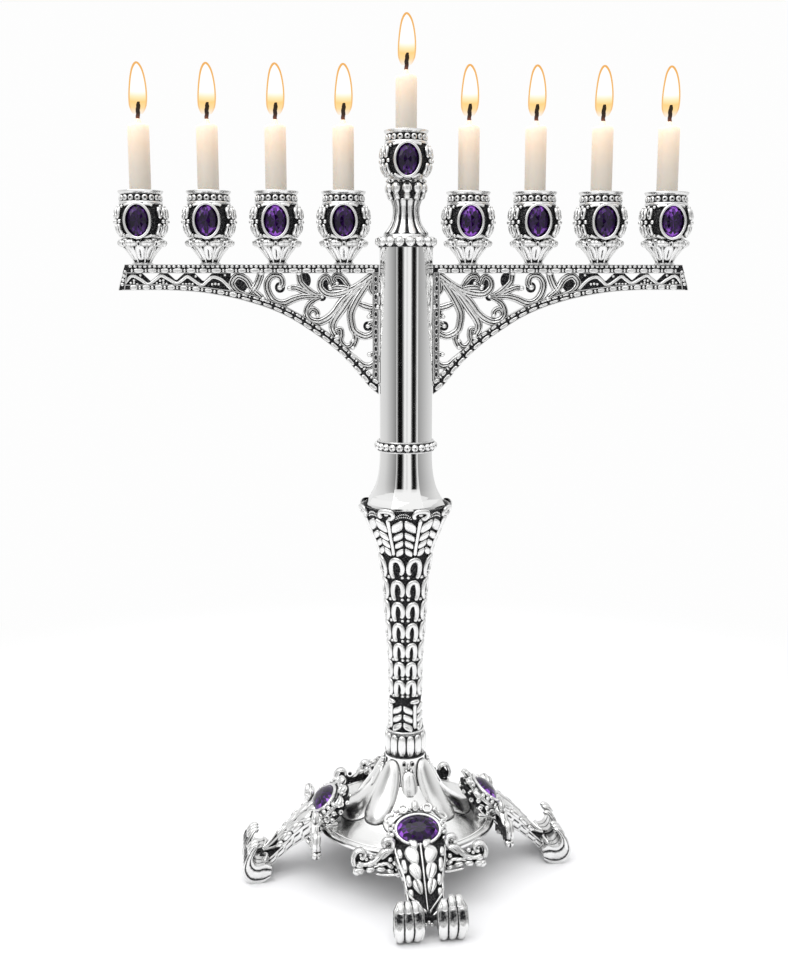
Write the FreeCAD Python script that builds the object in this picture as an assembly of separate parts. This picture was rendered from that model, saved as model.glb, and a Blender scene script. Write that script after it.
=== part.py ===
import FreeCAD, Part
import math
import os

os.makedirs("parts", exist_ok=True)
V = FreeCAD.Vector
UP = V(0, 0, 1)

# Nine-light candelabrum: a turned and cast stem on four claw feet, two pierced arms and nine candle cups.
# Millimetres, +Z up, the row of cups along X, feet on z = 0, stem axis at x = y = 0.

# ---- heights along the stem
plate_bottom = 22.5
plate_top = 25.5
dome_top = 56.0
collar_top = 68.0
stem_top = 155.0
calyx_top = 181.0
column_bottom = 177.0
column_top = 296.0
cap_top = 301.0
cup_centre_z = 326.0

# ---- base
plate_radius = 43.5
dome_skirt = 31.0
base_turn = 5.4          # degrees the four legs are turned about the stem
leg_count = 4
limb_half = 8.6
toe_inner = 3.3
toe_outer = 16.8
wing_half = 29.5
screw_ring = 37.5
leg_screw_dia = 4.0
leg_screw_length = 8.5

# ---- column, across flats
column_flats = 24.0
column_bore = 9.5
column_flare = 37.0

# ---- arms
rail_top = 288.5
rail_height = 3.9
rail_depth = 6.0
frame_depth = 4.6
scroll_depth = 3.2
web_depth = 1.2
arm_tip = 129.0
arm_drop = 59.0
cup_first = 28.0
cup_pitch = 30.0
cups_per_arm = 4
arm_screw_z = (282.0, 246.0)
arm_screw_dia = 3.0

# ---- cups, candles and their fit
cup_arm_z = 299.6
cup_height = 21.0
socket_radius = 5.5
socket_wall = 0.45
socket_floor = 2.5
socket_depth = 16.0
candle_dia = 9.5
candle_arm_top = 349.0
candle_centre_top = 370.4
wick_dia = 1.3
wick_show = 8.6
wick_root = 6.0
stone_half_width = 4.5
stone_half_height = 6.7
stone_face = 12.2
stud_dia = 3.0

# ---- tie rod that clamps the stem together
rod_dia = 6.0
rod_bore = 6.4
rod_bottom = 13.5
rod_top = 319.0
washer_thick = 1.5
nut_flats = 10.0
nut_height = 5.0


# ---------------------------------------------------------------- helpers
def solid_of(shape):
    return shape.Solids[0] if len(shape.Solids) == 1 else shape


def union(shapes):
    shapes = list(shapes)
    if len(shapes) == 1:
        return shapes[0]
    return solid_of(shapes[0].multiFuse(shapes[1:]).removeSplitter())


def group(shapes):
    solids = []
    for shape in shapes:
        solids.extend(shape.Solids)
    return Part.makeCompound(solids)


def export(name, shape):
    shape.exportStep("parts/" + name + ".step")


def turned(profile):
    """Solid of revolution about Z from (radius, z) points."""
    points = [V(r, 0, z) for r, z in profile]
    wire = Part.makePolygon(points + [points[0]])
    return Part.Face(wire).revolve(V(0, 0, 0), UP, 360)


def rod_hole(z0, z1, dia=rod_bore):
    return Part.makeCylinder(dia / 2, z1 - z0, V(0, 0, z0))


def spin(shape, angle):
    out = shape.copy()
    out.rotate(V(0, 0, 0), UP, angle)
    return out


def move(shape, x, y, z):
    out = shape.copy()
    out.translate(V(x, y, z))
    return out


def mirror_x(shape):
    return shape.mirror(V(0, 0, 0), V(1, 0, 0))


def ring_of(shape, count, start=0.0):
    return [spin(shape, start + 360.0 * k / count) for k in range(count)]


def bead_ring(ring_radius, bead_radius, z, count):
    return ring_of(Part.makeSphere(bead_radius, V(ring_radius, 0, z)), count)


def octagon(flats, z):
    circum = flats / 2 / math.cos(math.pi / 8)
    angles = [math.pi / 8 + k * math.pi / 4 for k in range(8)]
    points = [V(circum * math.cos(a), circum * math.sin(a), z) for a in angles]
    return Part.makePolygon(points + [points[0]])


def smooth(points, closed=False):
    curve = Part.BSplineCurve()
    curve.interpolate([V(*p) for p in points], PeriodicFlag=closed)
    return curve


def hexagon(flats, height, z):
    circum = flats / math.sqrt(3)
    points = [V(circum * math.cos(k * math.pi / 3), circum * math.sin(k * math.pi / 3), z) for k in range(6)]
    return Part.Face(Part.makePolygon(points + [points[0]])).extrude(V(0, 0, height))


def oval_pad(half_w, half_h, depth):
    """Pad on an oval in the local XY plane, grown along +Z."""
    if half_w >= half_h:
        edge = Part.Ellipse(V(0, 0, 0), half_w, half_h).toShape()
        return Part.Face(Part.Wire(edge)).extrude(V(0, 0, depth))
    edge = Part.Ellipse(V(0, 0, 0), half_h, half_w).toShape()
    pad = Part.Face(Part.Wire(edge)).extrude(V(0, 0, depth))
    pad.rotate(V(0, 0, 0), UP, 90)
    return pad


def oval_gem(half_w, half_h, depth, crown):
    """Straight girdle with a cut crown above it, in the local XY plane."""
    sections = []
    for scale, level in ((1.0, 0.0), (1.0, depth), (0.82, depth + 0.6 * crown), (0.5, depth + crown)):
        points = []
        for k in range(16):
            a = 2 * math.pi * k / 16
            points.append(V(scale * half_w * math.cos(a), scale * half_h * math.sin(a), level))
        sections.append(Part.makePolygon(points + [points[0]]))
    return Part.makeLoft(sections, True, True)


# ---------------------------------------------------------------- base
def make_base_plate():
    plate = turned([(rod_bore / 2, plate_bottom), (plate_radius - 0.8, plate_bottom),
                    (plate_radius, plate_bottom + 0.8), (plate_radius, plate_top - 0.7),
                    (plate_radius - 0.7, plate_top), (rod_bore / 2, plate_top)])
    hole = Part.makeCylinder(leg_screw_dia / 2, 10, V(0, -screw_ring, plate_bottom - 3))
    return solid_of(plate.cut(union(ring_of(hole, leg_count, base_turn))))


def pear_lobe():
    """One long drop-shaped lobe leaning on the dome."""
    top = V(0, -9.8, 52.5)
    low = V(0, -20.0, 34.5)
    axis = low.sub(top)
    cone = Part.makeCone(2.6, 6.6, axis.Length, top, axis)
    return [Part.makeSphere(2.6, top), cone, Part.makeSphere(6.6, low)]


def tongue_lobe():
    top = V(0, -9.4, 52.5)
    low = V(0, -15.0, 41.5)
    axis = low.sub(top)
    cone = Part.makeCone(1.8, 4.4, axis.Length, top, axis)
    return [Part.makeSphere(1.8, top), cone, Part.makeSphere(4.4, low)]


def make_base_dome():
    outer = [(10.7, dome_top), (11.2, 52.0), (12.6, 47.5), (15.2, 42.5), (19.0, 37.0), (23.8, 32.2),
             (28.0, 29.0), (dome_skirt, 27.2), (dome_skirt, plate_top)]
    inner = [(dome_skirt - 4, plate_top), (24.5, 28.2), (19.8, 31.6), (14.6, 36.5), (11.4, 42.0),
             (8.6, 47.0), (rod_bore / 2, 49.0), (rod_bore / 2, dome_top)]
    bell = turned(outer + inner)
    lobes = []
    for k in range(leg_count):
        for piece in pear_lobe():
            lobes.append(spin(piece, base_turn + 45 + 90 * k))
        for piece in tongue_lobe():
            lobes.append(spin(piece, base_turn + 90 * k))
    hollow = turned([(0, plate_top)] + inner[:-1] + [(rod_bore / 2, dome_top + 1), (0, dome_top + 1)])
    body = union([bell] + lobes).cut(hollow)
    cap = Part.makeCylinder(20, 10, V(0, 0, dome_top))
    return solid_of(body.cut(cap))


# leg outlines in the radial plane, as (radius from the stem axis, height)
limb_outline = [(31.8, 25.5), (31.8, 33.5), (34.0, 36.4), (38.4, 36.0), (43.6, 31.9), (48.2, 28.9),
                (53.0, 24.4), (58.4, 18.6), (63.0, 13.6), (67.2, 9.6), (71.0, 8.2), (70.0, 3.0),
                (65.5, 4.6), (61.0, 10.2), (55.2, 15.2), (49.4, 19.4), (44.2, 22.0), (43.8, 25.5)]
toe_outline = [(70.5, 0.0), (74.5, 0.0), (77.6, 2.4), (79.2, 6.0), (78.9, 10.2), (76.6, 14.6),
               (72.6, 18.4), (71.4, 17.6), (73.6, 14.2), (74.4, 11.2), (73.4, 9.2), (71.2, 8.6),
               (68.4, 9.0), (65.8, 7.0), (66.6, 2.8)]


def radial_prism(outline, t0, t1):
    points = [V(t0, -r, z) for r, z in outline]
    face = Part.Face(Part.makePolygon(points + [points[0]]))
    return face.extrude(V(t1 - t0, 0, 0))


def wing_outline():
    upper = [(7.0, 26.2), (12.0, 24.4), (17.0, 26.6), (22.0, 25.4), (27.0, 27.6), (wing_half, 26.0)]
    lower = [(wing_half, 21.0), (27.0, 18.2), (21.0, 18.8), (15.0, 17.6), (10.0, 14.5), (7.0, 14.0)]
    return upper + lower


def tilt_to_cartouche(shape):
    """Carry a shape from the local XY plane to the tilted face above the limb."""
    out = shape.copy()
    out.rotate(V(0, 0, 0), V(1, 0, 0), 40)
    out.translate(V(0, -39.0, 33.6))
    return out


def make_leg(hub):
    limb = radial_prism(limb_outline, -limb_half, limb_half)
    toes = [radial_prism(toe_outline, toe_inner, toe_outer), radial_prism(toe_outline, -toe_outer, -toe_inner)]
    # fingers of the claw are parted by grooves round the hook
    grooves = []
    for side in (-1, 1):
        for k in (1, 2):
            t = side * (toe_inner + k * (toe_outer - toe_inner) / 3)
            grooves.append(Part.makeBox(0.9, 9, 24, V(t - 0.45, -84.6, 6.0)))
    wings = []
    for side in (-1, 1):
        points = [V(side * t, -46.6, z) for t, z in wing_outline()]
        wings.append(Part.Face(Part.makePolygon(points + [points[0]])).extrude(V(0, 3.6, 0)))
        for t, z in ((12.5, 20.0), (19.0, 22.2), (25.5, 23.0)):
            wings[-1] = wings[-1].cut(Part.makeCylinder(1.5, 12, V(side * t, -50, z), V(0, 1, 0)))
        wings.append(Part.makeCylinder(3.0, 4.4, V(side * 26.8, -47.0, 24.4), V(0, 1, 0)))
    bezel = oval_pad(11.2, 8.4, 5.0)
    bezel.translate(V(0, 0, -3.0))
    crown = Part.makeCone(2.2, 0.5, 6.0, V(0, 7.2, 0.4), V(0, 1, 0.25))
    side_scrolls = [Part.makeSphere(2.4, V(s * 11.6, y, 0.2)) for s in (-1, 1) for y in (-3.4, 1.6)]
    cartouche = [tilt_to_cartouche(s) for s in [bezel, crown] + side_scrolls]
    # three overlapping leaf ridges down the face of the limb
    leaves = []
    for r, z in ((50.0, 26.6), (56.2, 20.4), (62.4, 13.8)):
        for side in (-1, 1):
            leaf = Part.makeSphere(3.4)
            leaf = leaf.transformGeometry(FreeCAD.Matrix(0.75, 0, 0, 0, 0, 1.25, 0, 0, 0, 0, 0.6, 0, 0, 0, 0, 1))
            leaf.rotate(V(0, 0, 0), V(1, 0, 0), 46)
            leaf.translate(V(side * 3.6, -r, z))
            leaves.append(leaf)
    leg = union([limb] + toes + wings + cartouche + leaves)
    seat = tilt_to_cartouche(move(oval_pad(9.7, 6.9, 6.0), 0, 0, 0.4))
    shank = Part.makeCylinder(leg_screw_dia / 2, leg_screw_length, V(0, -screw_ring, plate_bottom))
    floor = Part.makeBox(400, 400, 40, V(-200, -200, -40))
    leg = leg.cut(union(grooves)).cut(seat).cut(shank).cut(hub).cut(floor)
    return solid_of(leg)


def make_leg_stone():
    gem = oval_gem(9.5, 6.7, 2.0, 2.6)
    gem.translate(V(0, 0, 0.4))
    return tilt_to_cartouche(gem)


def make_leg_screw():
    head = Part.makeCylinder(3.6, 2.2, V(0, -screw_ring, plate_bottom - 2.2))
    slot = Part.makeBox(7.4, 0.9, 0.9, V(-3.7, -screw_ring - 0.45, plate_bottom - 2.2))
    shank = Part.makeCylinder(leg_screw_dia / 2, leg_screw_length, V(0, -screw_ring, plate_bottom))
    return union([head.cut(slot), shank])


# ---------------------------------------------------------------- stem
def make_stem_collar():
    body = turned([(rod_bore / 2, dome_top), (9.4, dome_top), (9.8, 58.0), (8.8, 60.0), (9.0, 64.5),
                   (9.4, 66.5), (8.6, collar_top), (rod_bore / 2, collar_top)])
    pod = Part.makeSphere(1.0)
    pod = pod.transformGeometry(FreeCAD.Matrix(1.9, 0, 0, 0, 0, 2.0, 0, 0, 0, 0, 4.6, 0, 0, 0, 0, 1))
    pods = ring_of(move(pod, 8.6, 0, 62.0), 12)
    body = union([body] + pods)
    return solid_of(body.cut(rod_hole(dome_top - 1, collar_top + 1)))


def make_patterned_stem():
    profile = [(8.2, collar_top), (8.6, 69.5), (7.9, 71.0), (7.7, 82.0), (8.3, 83.4), (8.3, 84.6), (7.6, 86.0),
               (7.8, 102.0), (8.9, 117.0), (9.8, 131.0), (10.4, 142.0), (11.8, 150.5), (12.6, 153.4),
               (12.6, stem_top)]
    body = turned([(rod_bore / 2, collar_top)] + profile + [(rod_bore / 2, stem_top)])
    # seven rings of scroll bosses climb the stem
    bosses = []
    for row in range(7):
        z = 90.5 + 9.0 * row
        radius = 7.5 + 2.9 * (row / 6.0) ** 1.6
        bosses.extend(ring_of(Part.makeSphere(1.9, V(radius - 0.7, 0, z)), 10, 18.0 * (row % 2)))
    body = union([body] + bosses)
    return solid_of(body.cut(rod_hole(collar_top - 1, stem_top + 1)))


def make_calyx():
    wall = [(12.3, stem_top), (12.6, 158.0), (13.6, 161.0), (15.4, 165.4), (17.0, 170.2), (19.2, 175.0),
            (20.7, 178.2), (21.2, calyx_top)]
    seat = [(20.3, calyx_top), (20.3, column_bottom), (rod_bore / 2, column_bottom)]
    body = turned([(rod_bore / 2, stem_top)] + wall + seat)
    # a leaf rib stands on the wall at each corner and curls over at the rim
    outline = [(r + 1.1, z + 0.3) for r, z in wall[:-1]] + [(22.2, 181.6), (20.4, 181.6), (11.0, 158.0)]
    ribs = []
    for k in range(8):
        rib = spin(radial_prism(outline, -1.3, 1.3), 45.0 * k + 22.5)
        ribs.append(rib)
    well = Part.makeCylinder(20.3, 12, V(0, 0, column_bottom))
    body = union([body] + ribs).cut(well)
    return solid_of(body.cut(rod_hole(stem_top - 1, column_bottom + 1)))


def make_column():
    half = column_flats
    sections = [(half, column_top), (half, 200.0), (half * 1.03, 195.5), (half * 1.12, 190.5),
                (half * 1.27, 185.5), (half * 1.42, 181.0), (column_flare, column_bottom)]
    body = Part.makeLoft([octagon(f, z) for f, z in reversed(sections)], True, True)
    bore = Part.makeCylinder(column_bore, column_top - column_bottom + 2, V(0, 0, column_bottom - 1))
    body = body.cut(bore)
    holes = []
    for z in arm_screw_z:
        holes.append(Part.makeCylinder(arm_screw_dia / 2, 40, V(-20, 0, z), V(1, 0, 0)))
    return solid_of(body.cut(union(holes)))


def make_column_bead_ring():
    band = turned([(10.0, 203.6), (13.6, 203.6), (14.0, 204.6), (14.0, 208.0), (13.6, 209.0), (10.0, 209.0)])
    body = union([band] + bead_ring(13.5, 1.35, 206.3, 28))
    core = Part.Face(octagon(column_flats, 200.0)).extrude(V(0, 0, 12))
    return solid_of(body.cut(core))


def make_column_cap():
    disc = turned([(rod_bore / 2, column_top), (12.6, column_top), (12.9, 297.0), (11.6, 299.8),
                   (10.4, cap_top), (rod_bore / 2, cap_top)])
    beads = bead_ring(11.9, 2.35, 298.4, 16)
    body = union([disc] + beads)
    under = Part.makeCylinder(20, 5, V(0, 0, column_top - 5))
    above = Part.makeCylinder(20, 5, V(0, 0, cap_top))
    return solid_of(body.cut(under).cut(above))


def make_centre_spool():
    profile = [(10.4, cap_top), (9.9, 302.4), (8.5, 303.9), (7.2, 305.6), (6.4, 307.6), (5.8, 311.5),
               (6.1, 314.3), (6.8, 316.4), (7.9, 318.2), (8.4, 320.6), (8.3, 323.8), (8.6, 325.0),
               (8.3, cup_centre_z)]
    body = turned([(rod_bore / 2, cap_top)] + profile + [(rod_bore / 2, cup_centre_z)])
    flute = Part.makeCylinder(0.9, 14.0, V(7.3, 0, 303.0))
    body = body.cut(union(ring_of(flute, 12, 15.0)))
    pod = Part.makeSphere(1.0)
    pod = pod.transformGeometry(FreeCAD.Matrix(2.2, 0, 0, 0, 0, 2.3, 0, 0, 0, 0, 2.8, 0, 0, 0, 0, 1))
    body = union([body] + ring_of(move(pod, 7.7, 0, 321.4), 10))
    body = body.cut(rod_hole(cap_top - 1, rod_top + 1))
    return solid_of(body.cut(rod_hole(rod_top + 1, cup_centre_z + 1, 8.0)))


# ---------------------------------------------------------------- cups, with z = 0 at the foot of the bowl
def bowl_body():
    profile = [(8.3, 0.0), (9.1, 1.6), (10.2, 4.0), (11.0, 7.0), (11.1, 9.0), (10.4, 12.4), (9.5, 14.6),
               (9.0, 15.6), (8.8, 17.8), (9.2, 19.4), (9.9, 20.4), (9.9, cup_height), (8.9, cup_height),
               (8.2, 20.2), (socket_radius, 18.8), (0, 18.8), (0, 0.0)]
    body = turned(profile)
    beads = bead_ring(8.9, 0.95, 16.8, 22)
    frames = []
    for side in (-1, 1):
        pad = oval_pad(6.0, 8.0, 4.4)
        pad.rotate(V(0, 0, 0), V(1, 0, 0), 90 * side)
        pad.translate(V(0, -side * 8.6, 7.6))
        frames.append(pad)
        for x in (-1, 1):
            post = Part.makeCylinder(1.2, 11.0, V(x * 9.2, -side * 5.2, 2.0))
            frames.append(post)
    return union([body] + beads + frames)


def bowl_cuts():
    seats = []
    for side in (-1, 1):
        seat = oval_pad(stone_half_width, stone_half_height, 6.0)
        seat.rotate(V(0, 0, 0), V(1, 0, 0), 90 * side)
        seat.translate(V(0, -side * (stone_face - 2.2), 7.6))
        seats.append(seat)
    socket = Part.makeCylinder(socket_radius, 30, V(0, 0, socket_floor))
    return union(seats + [socket])


def make_arm_cup():
    foot = cup_arm_z - rail_top
    profile = [(0, -foot), (3.9, -foot), (4.2, -foot + 1.0), (5.4, -foot + 3.4), (7.4, -foot + 6.4),
               (9.0, -foot + 8.2), (10.0, -foot + 8.8), (10.1, -foot + 9.8), (9.0, -foot + 10.6),
               (8.3, 0.0), (0, 0.0)]
    cone = turned(profile)
    petals = []
    for k in range(8):
        petal = Part.makeCone(0.9, 1.9, 8.4, V(3.5, 0, -foot + 0.7), V(4.9, 0, 7.0))
        petals.append(spin(petal, 45.0 * k))
    under = Part.makeCylinder(20, 5, V(0, 0, -foot - 5))
    body = union([bowl_body(), cone] + petals).cut(under)
    stud = Part.makeCylinder(stud_dia / 2, 6.0, V(0, 0, -foot))
    return solid_of(body.cut(bowl_cuts()).cut(stud))


def make_centre_cup():
    spigot = Part.makeCylinder(4.0, 6.0, V(0, 0, -6.0))
    body = union([bowl_body(), spigot])
    return solid_of(body.cut(bowl_cuts()))


def make_cup_stones():
    stones = []
    for side in (-1, 1):
        gem = oval_gem(stone_half_width, stone_half_height, 1.4, 1.5)
        gem.rotate(V(0, 0, 0), V(1, 0, 0), 90 * side)
        gem.translate(V(0, -side * (stone_face - 2.2), 7.6))
        stones.append(gem)
    return group(stones)


def make_socket_liner():
    outer = Part.makeCylinder(socket_radius, socket_depth, V(0, 0, socket_floor))
    inner = Part.makeCylinder(socket_radius - socket_wall, socket_depth, V(0, 0, socket_floor + 0.5))
    return outer.cut(inner)


def make_candle(z_foot, z_top):
    radius = candle_dia / 2
    body = turned([(0, z_foot), (radius - 0.3, z_foot), (radius, z_foot + 0.3), (radius, z_top - 0.7),
                   (radius - 0.5, z_top), (radius - 1.3, z_top - 0.5), (1.1, z_top - 0.3),
                   (0.75, z_top + 1.0), (0, z_top + 1.0)])
    return solid_of(body.cut(Part.makeCylinder(wick_dia / 2, 20, V(0, 0, z_top - wick_root))))


def make_wick(z_top):
    root = V(0, 0, z_top - wick_root)
    straight = Part.makeCylinder(wick_dia / 2, wick_root + 1.0, root)
    low = Part.Wire(Part.Circle(V(0, 0, z_top + 1.0), UP, wick_dia / 2).toShape())
    mid = Part.Wire(Part.Circle(V(0.10, 0, z_top + 5.0), V(0.1, 0, 1), wick_dia / 2 - 0.02).toShape())
    high = Part.Wire(Part.Circle(V(0.55, 0, z_top + wick_show), V(0.2, 0, 1), 0.45).toShape())
    bent = Part.makeLoft([low, mid, high], True, False)
    return solid_of(straight.fuse(bent))


# ---------------------------------------------------------------- arms, drawn as (distance from axis, drop below the rail)
underside = [(106.0, 11.5), (92.5, 12.4), (79.0, 14.7), (70.0, 17.0), (61.5, 19.8), (52.5, 23.9), (44.0, 29.2),
             (35.0, 35.6), (26.0, 44.0), (17.4, 54.4), (12.0, arm_drop)]
inside = [(104.0, 8.9), (92.0, 9.8), (78.0, 11.7), (68.5, 13.7), (59.8, 16.4), (50.6, 20.6), (41.8, 25.9),
          (32.6, 32.5), (23.4, 41.2), (15.2, 51.2)]

# scrollwork centre lines with the bar width at both ends
scrolls = [
    # main stem out of the top inner corner, closing in the upper volute
    ([(13.6, 3.6), (21.0, 9.1), (26.1, 11.7), (31.6, 13.2), (35.8, 13.0), (38.6, 10.4), (38.4, 7.0),
      (36.0, 5.4), (34.4, 7.4), (34.6, 9.6)], 3.2, 1.5),
    # small leaf curl that rests under the rail
    ([(25.2, 10.6), (27.4, 7.4), (29.5, 5.4), (32.0, 5.2), (32.7, 7.0), (31.2, 8.3)], 1.7, 1.5),
    ([(25.5, 11.0), (29.9, 10.4), (34.2, 10.6)], 2.6, 1.6),
    # long running scroll in the middle of the arm
    ([(36.8, 13.8), (42.2, 14.3), (46.4, 14.3), (50.7, 15.4), (54.1, 16.9), (57.0, 17.2), (60.0, 15.8),
      (62.1, 12.6), (62.8, 9.1), (61.5, 6.1), (59.1, 4.9), (56.6, 5.7), (55.8, 8.3), (57.0, 10.2)], 2.0, 2.2),
    # two leaf sprigs
    ([(38.7, 14.3), (43.0, 12.4), (45.6, 10.2), (47.7, 7.6), (48.3, 3.6)], 1.6, 2.4),
    ([(41.0, 13.6), (46.4, 11.7), (49.8, 10.4), (52.6, 10.6)], 1.6, 2.0),
    # loop scroll lying on the underside rail, with its curl
    ([(20.0, 9.0), (27.4, 15.0), (30.3, 18.2), (32.4, 21.2), (35.8, 24.2), (39.7, 25.8), (43.5, 24.9),
      (45.2, 21.7), (43.9, 17.8), (40.9, 15.6), (38.0, 14.4)], 3.4, 1.4),
    ([(43.8, 23.4), (44.0, 21.7), (42.6, 19.9), (40.5, 21.0), (40.1, 23.0)], 1.5, 1.7),
    # two lower stems, the left one ending in a hook, the right one in a volute
    ([(19.0, 8.0), (24.8, 13.9), (29.1, 19.9), (32.4, 24.6), (33.4, 28.4), (31.4, 32.6)], 3.0, 2.4),
    ([(32.6, 30.0), (29.9, 29.0), (29.5, 31.6), (29.9, 34.2), (27.8, 36.8), (25.2, 36.4), (24.2, 34.2)], 2.0, 1.7),
    ([(16.0, 6.4), (19.7, 11.7), (22.7, 16.5), (25.0, 21.7), (24.8, 26.0), (23.8, 29.5), (21.4, 31.4),
      (18.5, 32.3), (15.5, 31.2), (14.4, 28.6), (15.5, 26.5), (17.4, 27.6)], 3.0, 1.8),
    ([(23.8, 29.0), (22.8, 33.4), (24.2, 37.4)], 1.8, 1.7),
    # curls that tie the scrollwork to the upright
    ([(15.1, 5.0), (15.9, 10.0), (15.0, 12.6), (12.8, 13.4)], 1.6, 1.8),
    ([(22.0, 17.2), (18.9, 18.6), (15.6, 19.4), (12.8, 19.0)], 2.0, 2.2),
    ([(15.8, 19.2), (15.0, 22.1), (17.0, 23.4)], 1.8, 1.6),
    ([(27.4, 38.6), (22.7, 42.9), (19.7, 45.3), (16.3, 45.6), (13.9, 43.3), (14.6, 40.7), (16.8, 40.5)], 2.0, 1.8),
    # outer oval volute and leaf
    ([(71.1, 13.8), (76.0, 11.9), (78.4, 8.4), (75.9, 5.2), (72.0, 6.8), (69.2, 11.2), (64.6, 15.4)], 2.0, 2.0),
    ([(70.9, 14.0), (67.6, 9.4), (65.2, 3.6)], 1.8, 2.6),
]

# thin webs behind the closed eyes of the volutes
webs = [(36.4, 9.0, 2.6, 3.8), (45.6, 7.0, 2.6, 3.4), (74.6, 8.8, 3.2, 3.4), (29.6, 8.2, 2.2, 2.4)]

# pierced triangles above the wave ribbon: centre, half width, depth
pierced = [(114.6, 4.2, 3.6), (103.4, 4.0, 3.2), (91.2, 4.2, 3.6)]
wave = [(127.2, 9.4), (123.2, 5.2), (119.4, 6.6), (115.8, 8.8), (112.4, 6.6), (110.0, 5.0), (107.0, 6.4),
        (103.2, 8.4), (100.4, 6.8), (98.2, 5.4), (95.4, 7.2), (92.0, 9.2), (89.2, 7.2), (86.8, 5.6),
        (82.8, 7.0), (78.4, 11.6)]


def arm_point(u, drop, y=0.0):
    return V(-u, y, rail_top - drop)


def flat_face(points):
    pts = [arm_point(u, d) for u, d in points]
    return Part.Face(Part.makePolygon(pts + [pts[0]]))


def thicken(faces, depth):
    """Join flat faces in the plane of the arm and thicken them evenly to both sides."""
    joined = faces[0] if len(faces) == 1 else faces[0].multiFuse(faces[1:]).removeSplitter()
    joined = move(joined, 0, -depth / 2, 0)
    solids = [face.extrude(V(0, depth, 0)) for face in joined.Faces]
    return solids


def sampled(points, count):
    curve = smooth([(u, d, 0) for u, d in points])
    first, last = curve.FirstParameter, curve.LastParameter
    out = []
    for k in range(count + 1):
        p = first + (last - first) * k / count
        out.append((curve.value(p), curve.tangent(p)[0]))
    return out


def disc_face(u, drop, half_w, half_h):
    points = []
    for k in range(16):
        a = 2 * math.pi * k / 16
        points.append((u + half_w * math.cos(a), drop + half_h * math.sin(a)))
    return flat_face(points)


def bar(points, width_a, width_b):
    """Flat faces of a scroll bar of changing width along a smooth centre line."""
    left = []
    right = []
    count = 4 * len(points)
    for k, (p, t) in enumerate(sampled(points, count)):
        half = (width_a + (width_b - width_a) * k / count) / 2
        n = V(-t.y, t.x, 0).normalize()
        left.append((p.x + n.x * half, p.y + n.y * half))
        right.append((p.x - n.x * half, p.y - n.y * half))
    faces = []
    for k in range(0, count, 4):
        faces.append(flat_face(left[k:k + 5] + right[k:k + 5][::-1]))
    for (u, d), width in ((points[0], width_a), (points[-1], width_b * 1.3)):
        faces.append(disc_face(u, d, width / 2, width / 2))
    return faces


def curve_points(points, count):
    return [(p.x, p.y) for p, t in sampled(points, count)]


def make_arm():
    under = curve_points(underside, 44)
    inner = curve_points(inside, 40)
    outline = [(12.0, 0.0), (125.6, 0.0), (arm_tip, 11.5)] + under
    window = [(15.2, rail_height), (123.6, rail_height), (125.6, 8.9)] + inner
    frame = flat_face(outline).cut(flat_face(window))
    rail = flat_face([(12.0, 0.0), (125.6, 0.0), (126.8, rail_height), (12.0, rail_height)])
    # the outer third is a solid panel behind the wave ribbon, pierced above each trough
    panel = flat_face([(79.0, rail_height - 0.5), (125.0, rail_height - 0.5), (126.6, 9.6), (104.0, 9.6),
                       (92.0, 10.4), (79.0, 12.2)])
    holes = []
    for u, half, depth in pierced:
        top = rail_height
        holes.append(flat_face([(u - half, top), (u + half, top), (u + 0.4, top + depth), (u - 0.4, top + depth)]))
    panel = panel.cut(holes)
    bars = bar(wave, 1.5, 1.5)
    for points, width_a, width_b in scrolls:
        bars.extend(bar(points, width_a, width_b))
    backs = [panel] + [disc_face(u, d, half_w, half_h) for u, d, half_w, half_h in webs]
    solids = thicken([frame], frame_depth) + thicken([rail], rail_depth)
    solids += thicken(bars, scroll_depth) + thicken(backs, web_depth)
    arm = union(solids)
    cuts = [Part.makeBox(30, 20, 90, V(-12.0, -10, rail_top - 80))]
    for k in range(cups_per_arm):
        cuts.append(Part.makeCylinder(stud_dia / 2, 3.0, arm_point(cup_first + cup_pitch * k, 3.0)))
    for z in arm_screw_z:
        cuts.append(Part.makeCylinder(arm_screw_dia / 2, 2.6, V(-14.6, 0, z), V(1, 0, 0)))
    return solid_of(arm.cut(cuts))


def make_arm_screw(z):
    """Cheese-head screw from inside the column into the arm's upright."""
    head = Part.makeCylinder(2.6, 2.0, V(-8.9, 0, z), V(1, 0, 0))
    shank = Part.makeCylinder(arm_screw_dia / 2, 5.7, V(-14.6, 0, z), V(1, 0, 0))
    return union([head, shank])


# ---------------------------------------------------------------- build and export
base_plate = make_base_plate()
base_dome = make_base_dome()
export("base_plate", base_plate)
export("base_dome", base_dome)

hub = union([base_plate, Part.makeCylinder(dome_skirt, 14, V(0, 0, plate_top))])
leg = make_leg(spin(hub, -base_turn))
for index, name in enumerate(("leg_front", "leg_right", "leg_back", "leg_left")):
    export(name, spin(leg, base_turn + 90 * index))
export("leg_stones", group(ring_of(make_leg_stone(), leg_count, base_turn)))
export("leg_screws", group(ring_of(make_leg_screw(), leg_count, base_turn)))

export("stem_collar", make_stem_collar())
export("patterned_stem", make_patterned_stem())
export("calyx", make_calyx())
export("column", make_column())
export("column_bead_ring", make_column_bead_ring())
export("column_cap", make_column_cap())
export("centre_spool", make_centre_spool())

arm = make_arm()
export("arm_left", arm)
export("arm_right", mirror_x(arm))
screws = [make_arm_screw(z) for z in arm_screw_z]
export("arm_screws", group(screws + [mirror_x(s) for s in screws]))

rod = Part.makeCylinder(rod_dia / 2, rod_top - rod_bottom, V(0, 0, rod_bottom))
washer = rod_hole(plate_bottom - washer_thick, plate_bottom, 14.0).cut(rod_hole(0, 60))
nut_z = plate_bottom - washer_thick - nut_height
nut = hexagon(nut_flats, nut_height, nut_z).cut(rod_hole(0, 60, rod_dia))
export("tie_rod", rod)
export("tie_washer", washer)
export("tie_nut", nut)

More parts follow.
